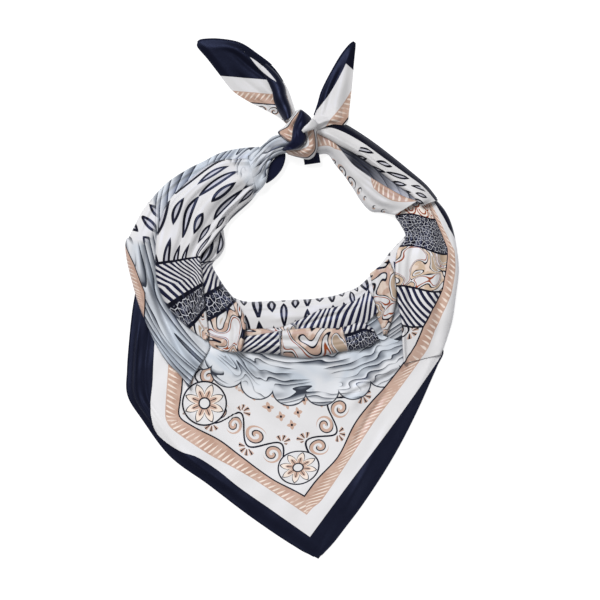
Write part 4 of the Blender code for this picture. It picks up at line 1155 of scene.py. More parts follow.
def leaves(e, f, pitch=LEAF_PITCH, repeat=LEAF_REPEAT):
    """Slim outlined leaves of many lengths in staggered rows."""
    row = e * (1 / pitch)
    chance = ((row.whole() * 12.99).sine() * 437.5).part()
    p = (row.part() - 0.5) * pitch
    leaf_place = f * (1 / repeat) + chance
    length = (leaf_place.whole() * 7.7 + row.whole() * 3.1).sine() + 2.9
    q = (leaf_place.part() - 0.5) * length
    leaf = abs(p) + q * q * 2.6
    colour = paint(OFF_WHITE, leaf.under(LEAF_OUTSIDE), INK)
    return paint(colour, leaf.under(LEAF_INSIDE), "bdbdc5")


print("rows of leaves on the square:", int(SQUARE / LEAF_PITCH))

# %% [markdown]
# ## Marbled grounds
#
# Marbling is the traditional way of getting flowing strokes: colours are floated on a bath and
# combed.  Clouds that bend round each other give the flow.  Each time their value passes a step
# there is a stroke, dark at the step and fading away on one side of it, as a brush leaves it.
# The strokes run round the neck opening, as the folds do, and go on from one stretch to the next.

# %% Where a point lies
NECK_MIDDLE = (13.0, 70.0)      # of the neck opening, in mm on the table
NECK_REACH = 90.0               # radius of the ring about it on which the marbling is measured


def on_table(tree):
    """Where each point lies on the table, x and y in mm."""
    return parts_of(tree, add_node(tree, "ShaderNodeTexCoord", output="Object"))


def about_the_neck(tree):
    """The distance from the middle of the neck opening, and the way round it from 0 to 1."""
    x, y = on_table(tree)
    p, q = x - NECK_MIDDLE[0], y - NECK_MIDDLE[1]
    return hypotenuse(p, q), turn(q * -1.0, p)


print("the ring for the marbling is", round(math.tau * NECK_REACH), "mm round")

# %% Marbling
STROKE_PITCH = 5.8      # from one stroke to the next, in mm
print("strokes in 100 mm:", int(100 / STROKE_PITCH))


def marbled(tree, squeeze=0.8, bend=7.0, full=0.53, ground="dbdde1", wash=GREY_BLUE, stroke="565c66"):
    """Strokes of grey over pale blue washes.  The smaller squeeze is, the longer the strokes are.
    The bend is how far they leave the way round the neck, and the higher full is, the more of the
    cloth has strokes."""
    away, way_round = about_the_neck(tree)
    place = add_node(tree, "ShaderNodeCombineXYZ",
                     (away * MM, way_round * (math.tau * NECK_REACH * MM * squeeze), 0.0))
    bent = away * (1 / STROKE_PITCH) + cloudy(tree, place, 40.0, 1.0, 1.4) * bend
    weight = cloudy(tree, place, 19.0, 1.0).under(full, 0.24)
    colour = paint(ground, cloudy(tree, place, 36.0, 2.0, 0.8).under(0.47, 0.2) * 0.8, wash)
    past = bent.part()
    tone = (weight * 0.98 - past).do("MULTIPLY", 1.2, clamp=True)
    colour = paint(colour, tone, stroke)
    core = (past - weight * 0.17).under(0.0, 0.10) * weight.over(0.35, 0.4)
    return paint(colour, core * 0.95, SLATE)


# %% Long streaks
PATCH_MIDDLE, PATCH_SIZE = (-146.0, 77.0), (17.0, 24.0)     # half its width and length, in mm


def streaks(tree, place, e, f):
    """Long combed strokes, and a patch of leaves at the outside of the ring."""
    x, y = on_table(tree)
    patch = hypotenuse((x - PATCH_MIDDLE[0]) * (1 / PATCH_SIZE[0]),
                       (y - PATCH_MIDDLE[1]) * (1 / PATCH_SIZE[1])).under(1.0, 0.25)
    marks = leaves((x + y) * 0.6, (x - y) * 0.8, 11.0, 26.0)
    return paint(marbled(tree, squeeze=0.30, bend=5.5, full=0.59, stroke="4e545f"), patch, marks)


# where the painted shade of the hollow lies: f at its bottom, and half its length
HOLLOW, HOLLOW_HALF = 342.0, 28.0       # f at its bottom, and half its length


def hollow_shade_streaks(tree, place, e, f):
    """Painted shade for the hollow by the knot: a darker ground, washes and strokes, deepening to near
    black towards its bottom.
    """
    # the ground, washes and strokes are painted darker, as shade in the hollow
    colour = marbled(tree, squeeze=0.12, bend=4.0, ground="a4a6af", wash="7d808a", stroke="50535c")
    # painted shade, near black, towards the bottom of the hollow
    return paint(colour, abs(f - HOLLOW).under(HOLLOW_HALF, 36.0) * 0.92, "15161c")


print("the hollow is dark from", HOLLOW - HOLLOW_HALF, "to", HOLLOW + HOLLOW_HALF, "mm")

# %% [markdown]
# ## The borders
#
# Printed scarves nearly always have plain bands along the hem.  Here they are navy, white, and
# peach with slanted light strokes, and an ink line ends them.

# %% Navy, white, peach and an ink line
LINE = 1.35             # width of a drawn line in mm
PEACH_EDGE = NAVY_BORDER + WHITE_BORDER             # where the peach starts, from the hem
FIELD = PEACH_EDGE + PEACH_BORDER + LINE            # and where the inside starts
print("the inside starts", FIELD, "mm from the hem")


def ticked(tree, place, across, along, pitch, slant, reach):
    """Peach with light strokes at this pitch, which slant and taper over their reach."""
    wash = cloudy(tree, place, 11.0)
    ground = paint(PEACH, wash.under(0.46, 0.15), "b99886")
    phase = (along + across * slant) * (1 / pitch)
    half_width = (across - 0.5).least((across * -1.0 + reach) * 0.22).least(pitch * 0.18)
    stroke = (abs(phase.part() - 0.5) * pitch - half_width).under(0.0, 0.5)
    return paint(ground, stroke * wash.under(0.66, 0.2), PEACH_LIGHT)


def bordered(field):
    """The drawing of a field inside the borders."""
    def draw(tree, place, e, f):
        """The field, and over it the bands from the ink line out to the navy."""
        d = e.least(f)
        a = e.most(f)
        slant = (e - f).under(0.0, 0.1) * -1.25 + 1.8
        band = ticked(tree, place, d - PEACH_EDGE, a, 5.1, slant, 9.0)
        colour = paint(field(tree, place, e, f), d.under(FIELD), INK)
        colour = paint(colour, d.under(FIELD - LINE), band)
        colour = paint(colour, d.under(PEACH_EDGE), OFF_WHITE)
        return paint(colour, d.under(NAVY_BORDER), NAVY)
    return draw


# %% [markdown]
# ## Inside the borders of the front panel
#
# A running scroll is the oldest of border ornaments: a wavy stem with a curl in each bay.  It
# starts at a round rosette in the corner, passes another where the border bends, and runs under
# the marbling, which ends in even scallops.  Small flowers in straight rows fill the ground
# between them.

# %% Running scrolls
SCROLL_MIDDLE, SCROLL_SWING, SCROLL_REPEAT = 68.5, 10.5, 42.0       # of the stem
CURL, SPRAY = 8.6, 8.0                                              # how far each reaches
SCROLLS_START = 90.0    # before this the sprays would run into each other in the corner
print("the scroll repeats", int(SQUARE / SCROLL_REPEAT), "times along a side")


def scrolls(d, a):
    """A wavy stem, a curl in each bay, and a spray outside each crest."""
    phase = a * (math.tau / SCROLL_REPEAT)
    off = d - phase.sine() * SCROLL_SWING - SCROLL_MIDDLE
    steep = phase.do("COSINE") * (SCROLL_SWING * math.tau / SCROLL_REPEAT)
    stem = abs(off) / (steep * steep + 1.0).do("SQRT")
    half = a * (2 / SCROLL_REPEAT)
    side = half.whole().do("PINGPONG", 1.0) * -2.0 + 1.0
    p = (half.part() - 0.5) * (SCROLL_REPEAT / 2)
    q = (d - SCROLL_MIDDLE) * side + 2.5
    r = hypotenuse(p, q)
    arm = (r * (1 / 6.2) - turn(p * side, q)).part()
    colour = paint(OFF_WHITE, arm.under(0.46, 0.06) * r.under(CURL), PEACH)
    colour = paint(colour, arm.between(0.44, 0.62, 0.06) * r.between(2.0, CURL), INK)
    beyond = q - (3.5 + SCROLL_SWING)
    reach = hypotenuse(p, beyond)
    spray = abs((turn(p, beyond) * 8.0).part() - 0.5)
    outside = reach.between(2.2, SPRAY) * beyond.over(0.0) * a.over(SCROLLS_START)
    colour = paint(colour, spray.under(0.34, 0.08) * outside, PEACH)
    colour = paint(colour, spray.under(0.12, 0.06) * outside, INK)
    return paint(colour, stem.under(LINE * 0.6), INK)


# %% A rosette
ROSETTE_RING = 18.0     # radius of the ring, in mm
print("a rosette is", 2 * ROSETTE_RING, "mm wide")


def rosette(p, q, below):
    """Eight pointed petals round an eye, inside a ring."""
    r = hypotenuse(p, q)
    lobe = (turn(p, q) * 8.0).part() - 0.5
    edge = abs(lobe) * -10.0 + lobe * lobe * -14.0 + 15.6
    colour = paint(below, r.under(ROSETTE_RING), INK)
    colour = paint(colour, r.under(ROSETTE_RING - LINE), OFF_WHITE)
    colour = paint(colour, (r - edge).under(0.9), INK)
    colour = paint(colour, (r - edge).under(-0.2), PEACH_LIGHT)
    colour = paint(colour, (r - edge * 0.72).under(0.0), PEACH)
    colour = paint(colour, abs(lobe).under(0.06, 0.04) * r.under(10.0), INK)
    colour = paint(colour, r.under(4.9), INK)
    return paint(colour, r.under(3.7), OFF_WHITE)


# %% Small flowers, and a scalloped edge
FLOWERS_START, FLOWER_PITCH = 93.0, 13.0
FLOWER_REACH = 4.8                      # from the middle to a petal's tip
SCALLOPS, SCALLOP_START = 32, 156.0     # how many in a whole turn, and how far from the neck's middle


def small_flowers(e, f):
    """Four petals round a dot, in rows along both borders."""
    p, q = (((side - FLOWERS_START) * (1 / FLOWER_PITCH)).part() * FLOWER_PITCH - FLOWER_PITCH / 2
            for side in (e, f))
    r = hypotenuse(p, q)
    edge = abs((turn(p, q) * 4.0).part() - 0.5) * -5.0 + FLOWER_REACH
    colour = paint(OFF_WHITE, (r - edge).under(0.0), PEACH)
    return paint(colour, r.under(1.2), INK)


def past_scallops(tree):
    """How far each point is outside a ring with a scalloped edge round the neck."""
    away, way_round = about_the_neck(tree)
    width = math.tau * SCALLOP_START / SCALLOPS
    beyond = away - SCALLOP_START
    aside = ((way_round * SCALLOPS).part() - 0.5) * width
    return beyond.least(hypotenuse(aside, beyond) - width / 2)


print("a scallop is", round(math.tau * SCALLOP_START / SCALLOPS, 1), "mm wide")

# %% The whole field
SCROLL_END = 300.0                      # how far along the border the scroll runs
CORNER_ROSETTE = 67.5                   # the rosette's distance from both hems
SIDE_ROSETTE = (-83.5, -99.5)           # one more where the border bends: x and y on the table
SIDE_SCALE = 1.2                        # and how much larger it is
print("the scroll ends after", SCROLL_END, "mm of border")


def scroll_field(tree, place, e, f):
    """Scrolls from a rosette to the marbling, and small flowers inside them."""
    d = e.least(f)
    a = e.most(f)
    outside = past_scallops(tree)
    colour = paint(OFF_WHITE, a.under(SCROLL_END), scrolls(d, a))
    colour = paint(colour, d.over(FLOWERS_START), small_flowers(e, f))
    colour = paint(colour, outside.under(1.6), SLATE)
    colour = paint(colour, outside.under(0.4), marbled(tree))
    side = [(here - middle) * (1 / SIDE_SCALE) for here, middle in zip(on_table(tree), SIDE_ROSETTE)]
    colour = rosette(*side, colour)
    return rosette(e - CORNER_ROSETTE, f - CORNER_ROSETTE, colour)


# %% Small curls
CURL_PITCH = 12.0       # from curl to curl, in mm
print("small curls on a square decimetre:", int((100 / CURL_PITCH) ** 2))


def small_curls(tree, place, e, f):
    """Small inked curls on white, one in each square."""
    p, q = ((side * (1 / CURL_PITCH)).part() * CURL_PITCH - CURL_PITCH / 2 for side in (e, f))
    r = hypotenuse(p, q)
    arm = (r * (1 / 4.0) - turn(p, q)).part()
    colour = paint(OFF_WHITE, arm.under(0.45, 0.08) * r.under(5.2), PEACH)
    return paint(colour, arm.between(0.0, 0.26, 0.08) * r.under(5.2), INK)


# %% [markdown]
# ## The panels along the side
#
# Down the right of the ring the border is followed by a chain of panels, with ink lines between
# them: scales drawn in rust, navy pebbles, mottled taupe, and slanted navy bars.

# %% Mottled shapes
MOTTLE = 19.0           # size of the shapes, in mm
print("mottled shapes are about", MOTTLE, "mm wide")


def mottled(tree, place, ground=PEACH):
    """Worn colour with outlined pale shapes in it."""
    blobs = cloudy(tree, place, MOTTLE, 0.0, 0.9)
    colour = paint(ground, cloudy(tree, place, 6.0, 3.0).under(0.47, 0.12), "dccabc")
    colour = paint(colour, blobs.over(0.60, 0.01), OFF_WHITE)
    colour = paint(colour, blobs.between(0.665, 0.70, 0.01), RUST)
    colour = paint(colour, blobs.under(0.41, 0.01), OFF_WHITE)
    colour = paint(colour, blobs.under(0.33, 0.01), TAUPE)
    rings = abs(abs(blobs - 0.505) - 0.095).under(0.019, 0.008)
    return paint(colour, rings, INK)


# %% Pebbles, bars and scales
PEBBLE = 3.6            # mm across
BAR_PITCH = 4.5         # from bar to bar, in mm
SCALE = 15.0            # width of one scale in mm
print("a scale is as wide as", round(SCALE / PEBBLE, 1), "pebbles")


def pebbled(tree, place):
    """Navy pebbles with pale gaps."""
    gaps, glints = (Number(tree, add_node(
        tree, "ShaderNodeTexVoronoi", {"Vector": place, "Scale": 1 / (PEBBLE * MM)},
        voronoi_dimensions="2D", feature=feature)) for feature in ("DISTANCE_TO_EDGE", "F1"))
    colour = paint(INK, gaps.under(0.045, 0.05), "d8d9e0")
    return paint(colour, abs(glints - 0.17).under(0.03, 0.03), "8a8d9f")


def barred(across, along):
    """Slanted navy bars on white."""
    slanted = ((across * 0.72 + along * 0.95) * (1 / BAR_PITCH)).part()
    return paint(OFF_WHITE, slanted.under(0.52, 0.1), "1b1c33")


def scaled(across, along):
    """Rows of round scales, drawn in rust."""
    row = along * (2 / SCALE)
    p = ((across * (1 / SCALE) + row.whole() * 0.5).part() - 0.5) * SCALE
    r = hypotenuse(p, row.part() * (SCALE / 2))
    return paint("e6ddd4", (r * (5 / SCALE)).part().under(0.45, 0.1) * r.between(2.0, SCALE / 2), RUST)


# %% The chain of panels
PANEL, FIRST_PANEL = 34.0, 393.0        # length of a panel, and where the first one starts
print("four panels run from", FIRST_PANEL, "to", FIRST_PANEL + 4 * PANEL, "mm")


def panel_field(tree, place, e, f):
    """The chain of panels, and then scrolls."""
    d = e.least(f)
    a = e.most(f)
    bowed = a + (d * 0.09).sine() * 2.5
    count = (bowed - FIRST_PANEL) * (1 / PANEL)
    colour = scrolls(d, a)
    panels = (scaled(d, bowed), pebbled(tree, place), mottled(tree, place, "c9b199"), barred(d, bowed))
    for end in range(len(panels), 0, -1):
        colour = paint(colour, count.under(end, 0.01), panels[end - 1])
    line = abs(count.part() - 0.5).over(0.5 - LINE / PANEL / 1.6, 0.01)
    return paint(colour, line * count.under(4.2), INK)


# %% [markdown]
# ## The middle of the scarf
#
# Rows of slim outlined leaves on white, as above, then slanted navy bars, a navy band of pebbles,
# and mottled shapes with ink outlines.  e runs across the leaves, and f along them.

# %% Leaves, bars, pebbles and shapes
SHAPES_END, PEBBLES_END, BARS_END, LEAVES_END = 25.0, 37.0, 62.0, 166.0
print("leaves cover", LEAVES_END - BARS_END, "mm of the middle")


def leaf_print(tree, place, e, f):
    """The middle of the scarf, from the mottled shapes up to the marbling."""
    wavy = cloudy(tree, place, 30.0, 1.0)
    ends = f + wavy * 24.0
    colour = paint(leaves(e, f), ends.over(LEAVES_END, 5.0), marbled(tree, 0.4, full=0.62))
    colour = paint(colour, f.under(BARS_END), barred(e, f + wavy * 5.0))
    colour = paint(colour, f.under(PEBBLES_END), pebbled(tree, place))
    colour = paint(colour, f.under(SHAPES_END), mottled(tree, place))
    for end in (BARS_END, PEBBLES_END, SHAPES_END):
        colour = paint(colour, abs(f - end).under(1.0), INK)
    return colour


# %% Prints of the leaves beside the knot, and plain navy
CURL_ROW = 11.0         # from curl to curl along an edge, in mm
print("curls in 100 mm of an edge:", int(100 / CURL_ROW))


def edged_print(tree, place, e, f):
    """White up to the navy border, with a few slanted leaves further along."""
    slanted = leaves((e + f) * 0.7, (f - e) * 0.7, 11.0, 24.0)
    colour = paint(OFF_WHITE, f.over(56.0) * e.over(21.0), slanted)
    return paint(colour, e.under(NAVY_BORDER), NAVY)


def trimmed_print(tree, place, e, f):
    """White with curls along one edge, and a peach band with light strokes along the other."""
    row = f * (1 / CURL_ROW)
    chance = (row.whole() * 5.3).sine()
    p = e + chance * 2.0 - 17.0
    q = row.part() * CURL_ROW - CURL_ROW / 2
    r = hypotenuse(p, q)
    arm = (r * (1 / 5.0) - turn(p, q) + chance).part()
    colour = paint(OFF_WHITE, arm.between(0.28, 0.55, 0.08) * (r - chance * 1.4).under(3.4), PEACH)
    colour = paint(colour, arm.under(0.24, 0.08) * (r - chance * 1.6).under(3.8), INK)
    return paint(colour, e.over(PEACH_EDGE), ticked(tree, place, e - PEACH_EDGE, f, 4.6, 0.5, 9.0))


def plain_print(tree, place, e, f):
    """Navy only, with the faintest change of tone that dye leaves."""
    return paint(NAVY, cloudy(tree, place, 40.0).under(0.5, 0.5), "15172b")


# %% The silks
# the shares below 1 are painted shade: the gathered stretches, the knot and the ears come out darker than
# the flat panels
border_silk = printed_silk("scrolled_silk_twill", bordered(scroll_field), gloss=0.27)
trim_silk = printed_silk("bordered_silk_twill", bordered(small_curls), 0.80, 0.14)
curl_silk = printed_silk("trimmed_silk_twill", trimmed_print, 0.80)
panel_silk = printed_silk("panelled_silk_twill", bordered(panel_field), 0.94)
drape_silk = printed_silk("combed_bordered_silk_twill", bordered(streaks), 0.86)
streak_silk = printed_silk("combed_silk_twill", streaks, 0.86)
hollow_shade_silk = printed_silk("shaded_combed_silk_twill", hollow_shade_streaks)
leaf_silk = printed_silk("leafy_silk_twill", leaf_print, 0.83)
edged_silk = printed_silk("edged_silk_twill", edged_print, 0.82, 0.10)
navy_silk = printed_silk("navy_silk_twill", plain_print, gloss=0.12)
print("silks:", sum(one.name.endswith("_twill") for one in bpy.data.materials))

# %% [markdown]
# ## Which part of the print each stretch shows
#
# A stretch is cut from the square in the mind only: its place in the print is given where it
# shows best.  A row says how far along the stretch it is (0 to 1), and then gives e and f at two
# or more evenly spaced places across it.

# %% Places in the print
PLACES = {
    "left_shoulder": [
        (0.00, 64, 168, 4, 168), (0.45, 64, 72, 4, 72), (0.62, 64, 42, 4, 44),
        (0.86, 58, 20, 10, 24), (1.00, 40, 6, 28, 10),
    ],
    "left_inner_fold": [
        (0.00, 120, 98, 142, 98), (0.38, 120, 46, 144, 50), (0.66, 118, 21, 150, 26),
        (1.00, 120, -6, 150, -4),
    ],
    "neck_roll": [(0.0, 200, 146, 200, 106), (1.0, 374, 146, 374, 106)],
    "upper_roll": [
        (0.0, 172, 24, 172, 11), (0.35, 134, 24, 134, 11), (0.36, 133, 58, 133, 44), (1.0, 60, 58, 60, 44),
    ],
    "lower_roll": [
        (0.0, 240, 59, 240, 43), (0.30, 203, 59, 203, 43), (0.31, 302, 22, 302, 6),
        (0.68, 254, 22, 254, 6), (0.69, 153, 42, 153, 27), (1.0, 116, 42, 116, 27),
    ],
    "right_stripe_fold": [(0.0, 310, 22, 310, 4), (1.0, 376, 22, 376, 4)],
    "left_drape": [
        (0.00, 47, 620, 84, 620), (0.11, 45, 636, 82, 628), (0.22, 38, 666, 78, 643),
        (0.36, 34, 704, 74, 662), (0.48, 42, 744, 80, 682), (0.56, 48, 770, 86, 695),
        (1.00, 60, 850, 78, 775),
    ],
    "left_back_strip": [(0.0, 300, 300, 316, 300), (1.0, 300, 450, 336, 450)],
    "left_gather": [(0.0, 24, 236, 48, 236), (1.0, 4, 166, 64, 166)],
    "right_inner_fold": [(0.0, 200, 300, 210, 300), (1.0, 200, 410, 214, 410)],
    "right_shoulder": [
        (0.00, 92, 408, 84, 408, 60, 408, -4, 408), (0.11, 96, 424, 88, 422, 62, 421, -2, 421),
        (0.22, 96, 436, 86, 435, 62, 435, 6, 437), (0.33, 95, 449, 85, 452, 64, 455, 29, 460),
        (0.44, 98, 463, 86, 466, 62, 472, 29, 479), (0.56, 95, 484, 82, 486, 59, 492, 28, 500),
        (0.67, 80, 505, 68, 506, 48, 514, 22, 522), (0.78, 68, 527, 58, 528, 40, 533, 19, 538),
        (0.89, 58, 547, 51, 548, 38, 550, 18.5, 552), (1.00, 46, 567, 41, 565, 32, 562, 18, 558),
    ],
    "right_upper_leaf": [(0.0, 4, 0, 34, 0), (0.5, 8, 66, 42, 66), (1.0, 14, 130, 44, 130)],
    "right_lower_leaf": [
        (0.00, 27, 300, 46, 300), (0.17, 20, 320, 41, 320), (0.26, 13, 330, 32, 330),
        (0.55, 13, 356, 33, 356), (0.66, 14, 370, 43, 370), (0.85, 14, 388, 45, 388),
        (1.00, 22, 404, 34, 404),
    ],
    "left_ear_turn": [(0.0, 12, 0, 3, 0), (1.0, 12, 76, 3, 76)],
    "knot_left_wrap": [
        (0.00, 53, 300, 36, 300), (0.40, 51, 312, 36, 312), (0.62, 47, 318, 36, 318),
        (1.00, 45, 330, 34.5, 330),
    ],
    "knot_lower_loop": [(0.0, 30, 300, 51, 300), (0.5, 26, 322, 50, 322), (1.0, 24, 345, 46, 345)],
    "knot_tongue": [(0.0, 22, 300, 32, 300), (1.0, 22, 315, 32, 315)],
    "back_panel": [(0.0, 4, 300, 100, 300), (1.0, 4, 500, 100, 500)],
}
FAR_INSIDE = 400.0      # a place in the print that is far from every hem
print("places in the print are given for", len(PLACES), "stretches")


def placed_by_rows(rows, along, across):
    """The place in the print at every point of a grid, straight between the rows."""
    at = [row[0] for row in rows]
    points = np.array([row[1:] for row in rows], float).reshape(len(rows), -1, 2)
    u, v = spaced(along), spaced(across)
    columns = np.linspace(0.0, 1.0, points.shape[1])
    result = np.zeros((len(u), len(v), 2))
    for axis in (0, 1):
        edges = np.stack([np.interp(u, at, points[:, k, axis]) for k in range(len(columns))], axis=1)
        result[:, :, axis] = [np.interp(v, columns, line) for line in edges]
    return result


# %% [markdown]
# On the front panel the borders are not quite as far from the outline as on the flat cloth,
# because the hem is turned or creased here and there.  So the panel's place comes from curves
# measured on it: the outline, the inner edge of the navy, the outer edge of the peach, and the
# ink line.  Between two curves the place is worked out from the distance to each.

# %% Border curves on the front panel
BORDER_CURVES = {
    # distance from the hem in mm: points from the top of the left side down to the corner
    "left": {
        0.0: [(-146, 20), (-157, -68), (-156, -92), (-142, -115), (-133, -125), (-125, -137), (-116, -150),
              (-100, -161), (-80, -176.5), (-50, -199.5), (-25, -217.5), (0, -234), (25, -248), (60, -270)],
        18.0: [(-126, 20), (-131, -42), (-133, -80), (-135, -100), (-134, -115), (-130, -127), (-120, -137),
               (-105, -146), (-90, -151), (-70, -164), (-50, -180), (-20, -201), (17, -227), (60, -257)],
        34.0: [(-112, 20), (-118, -65), (-120, -90), (-121, -110), (-119, -118), (-112, -126), (-80, -148),
               (-40, -170), (14, -206), (60, -238)],
        45.5: [(-100, 20), (-105, -75), (-107, -95), (-108, -112), (-95, -122), (-70, -135), (-50, -150),
               (-20, -172), (12, -189), (60, -220)],
    },
    "right": {
        0.0: [(-10, -300), (30, -244.5), (45, -225), (65, -198), (85, -168), (100, -140), (115, -110),
              (125, -92), (133, -75), (140, -60), (150, -35), (160, 0)],
        18.0: [(-20, -277), (17, -227), (50, -182), (80, -142), (100, -115), (120, -87), (142, -55),
               (150, -40), (158, 0)],
        34.0: [(-30, -267), (14, -206), (30, -190), (60, -145), (80, -115), (100, -89), (128, -50),
               (140, -30), (150, 0)],
        45.5: [(-40, -260), (12, -189), (25, -172), (45, -150), (60, -120), (75, -100), (91, -82),
               (116, -48), (130, -20), (140, 10)],
    },
}


print("curves measured on each side:", [len(curves) for curves in BORDER_CURVES.values()])


# %% From the curves to a place
def rounded(curve):
    """Points every few millimetres on a smooth curve through the given ones."""
    points = np.array(curve, float)
    return weights(len(points), np.linspace(0, 1, 8 * len(points))) @ points


def from_curve(grid, curve):
    """How far every point is to the left of a curve, and how far along it the nearest point is."""
    best = np.full(grid.shape[:2], np.inf)
    signed = np.zeros(grid.shape[:2])
    along = np.zeros(grid.shape[:2])
    run = 0.0
    for (x0, y0), (x1, y1) in zip(curve, curve[1:]):
        dx, dy = x1 - x0, y1 - y0
        length = math.hypot(dx, dy)
        px, py = grid[:, :, 0] - x0, grid[:, :, 1] - y0
        share = np.clip((px * dx + py * dy) / length ** 2, 0, 1)
        distance = np.hypot(px - share * dx, py - share * dy)
        closer = distance < best
        best = np.where(closer, distance, best)
        signed = np.where(closer, np.sign(py * dx - px * dy) * distance, signed)
        along = np.where(closer, run + share * length, along)
        run += length
    return signed, along


PEACH_CORNER = np.array([[[14.0, -206.0]]])         # where both peach bands meet
RUN_FROM, RUN_OVER = 15.0, 60.0     # how far off the diagonal the run starts to count, and over how far


def placed_by_curves(grid):
    """e and f on the front panel, from its border curves.  Away from the diagonal, the larger one
    becomes the run along the border, so that the print follows its bends."""
    places, runs = [], []
    for curves in BORDER_CURVES.values():
        marks = list(curves)
        found = [from_curve(grid, rounded(curve)) for curve in curves.values()]
        place = marks[0] + found[0][0]
        for k in range(len(marks) - 1):
            inside, past = found[k][0], -found[k + 1][0]
            share = inside / np.maximum(inside + past, 0.01)
            here = (inside > 0) & (past >= 0)
            place = np.where(here, marks[k] + (marks[k + 1] - marks[k]) * share, place)
        places.append(np.where(found[-1][0] > 0, marks[-1] + found[-1][0], place))
        start = from_curve(PEACH_CORNER, rounded(curves[PEACH_EDGE]))[1]
        runs.append(PEACH_EDGE + np.abs(found[marks.index(PEACH_EDGE)][1] - start))
    e, f = places
    left, right = soft((f - e - RUN_FROM) / RUN_OVER), soft((e - f - RUN_FROM) / RUN_OVER)
    return np.stack([e + (runs[1] - e) * right, f + (runs[0] - f) * left], axis=2)


# %% [markdown]
# The free corners have nearly straight edges, so two lines are enough for each of them.  On the
# left one a sliver of white peeps out beside the turned strip.

# %% The two free corners
def placed_on_corner(grid, edges):
    """e and f from the two straight edges that a corner of the cloth has."""
    result = []
    for x, y, nx, ny, scale, start, bow, span in edges:
        off_x, off_y = grid[:, :, 0] - x, grid[:, :, 1] - y
        along = np.clip(off_y * nx - off_x * ny, 0.0, span)
        bowed = bow * 4 * along * (span - along) / span ** 2
        result.append(start + scale * (off_x * nx + off_y * ny) - bowed)
    return np.stack(result, axis=2)


CORNER_PLACES = {
    # for e and for f: a point (x, y) of the edge's line, the direction into the cloth, scale, the
    # line's distance from the hem, its bow and its span
    "left_ear": ((-68, 213, -0.09, -1.0, 1.22, 18.0, 0.0, 50),
                 (-68, 213, 1.0, -0.09, 1.0, 300.0, 0.0, 50)),
    "right_ear": ((22, 178, 0.846, -0.533, 1.0, 18.0, 2.2, 55),
                  (51, 225, -0.65, -0.76, 1.0, 18.0, 0.0, 20)),
}
SLIVER, SLIVER_HALF = ((-41.0, 231.5), (-14.0, 206.0)), 2.0     # ends of a slim lens, half its width
WHITE_SIDE = ((1.7, 172.0), (-11.0, 214.0))         # right of this line the ear shows its white band
WHITE_PLACE = 28.0                                  # a distance from the hem in that band


def beside(grid, start, end):
    """How far along a line each point is, as a share, and how far to its right."""
    way = np.subtract(end, start)
    off = grid[:, :, :2] - start
    length = math.hypot(*way)
    return (off @ way) / length ** 2, (off[:, :, 0] * way[1] - off[:, :, 1] * way[0]) / length


def with_sliver(grid, place):
    """The white that peeps out between the left ear and its turned strip."""
    e = place[:, :, 0]
    share, off = beside(grid, *SLIVER)
    inside = SLIVER_HALF * np.sin(np.pi * np.clip(share, 0, 1)) - np.abs(off)
    e = np.where(inside > -SLIVER_HALF, np.maximum(e, NAVY_BORDER + inside), e)
    right = beside(grid, *WHITE_SIDE)[1]
    place[:, :, 0] = np.where(right > 0, np.minimum(e, WHITE_PLACE), e)
    return place


print("the sliver is", round(math.dist(*SLIVER)), "mm long")

# %% [markdown]
# ## Inside the ring
#
# Nobody sees the layers inside the gathered ring, only their rounded edges, low down.  They are
# one soft roll with a layered profile, made from a bmesh grid whose two long sides are welded
# together and whose ends are closed.

# %% A closed solid
def round_solid(node, sections, slot, finish):
    """A closed solid through rings of points, for a node that no shell of cloth can stand for."""
    thing = cloth_mesh(node + "_silk", sections, sections[:, :, :2] * 0.8 + FAR_INSIDE)
    body = bmesh.new()
    body.from_mesh(thing.data)
    bmesh.ops.remove_doubles(body, verts=body.verts, dist=1e-6)
    bmesh.ops.holes_fill(body, edges=body.edges, sides=0)
    bmesh.ops.recalc_face_normals(body, faces=body.faces)
    body.to_mesh(thing.data)
    body.free()
    finished(thing, slot, finish)
    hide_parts(node)
    remember(sections, 0.0)
    print(f"{node}: {len(thing.data.polygons)} faces")


# %% The hidden layers
LAYERED = [
    # share of the width, share of the height
    (0.00, 0.02), (0.50, 0.00), (1.00, 0.02), (1.00, 0.16), (0.97, 0.24), (0.985, 0.34), (0.94, 0.44),
    (0.92, 0.62), (0.80, 0.86), (0.62, 0.98), (0.42, 1.00), (0.22, 0.94), (0.09, 0.74),
    (0.05, 0.52), (0.06, 0.44), (0.015, 0.34), (0.03, 0.24), (0.00, 0.16),
]


def ring_profile(points, count):
    """A smooth closed curve through points."""
    looped = points[-2:] + points + points[:2]
    inner = np.linspace(2, len(points) + 2, count + 1) / (len(looped) - 1)
    return weights(len(looped), inner) @ np.array(looped, float)


ROLL_STEPS, PROFILE_STEPS = 140, 64
spine = weights(len(HIDDEN_LAYERS), np.linspace(0, 1, ROLL_STEPS + 1)) @ np.array(HIDDEN_LAYERS, float)
profile = ring_profile(LAYERED, PROFILE_STEPS)
layers = np.stack([
    spine[:, None, 0] + (spine[:, None, 2] - spine[:, None, 0]) * profile[None, :, 0],
    spine[:, None, 1] + (spine[:, None, 3] - spine[:, None, 1]) * profile[None, :, 0],
    np.maximum(spine[:, None, 4] * profile[None, :, 1], 0.0)], axis=2)
round_solid("hidden_layers", layers, "grey_silk", streak_silk)

# %% [markdown]
# The heart of the knot is a leaning round core.  Its wraps are laid over it below, as the other
# stretches are.

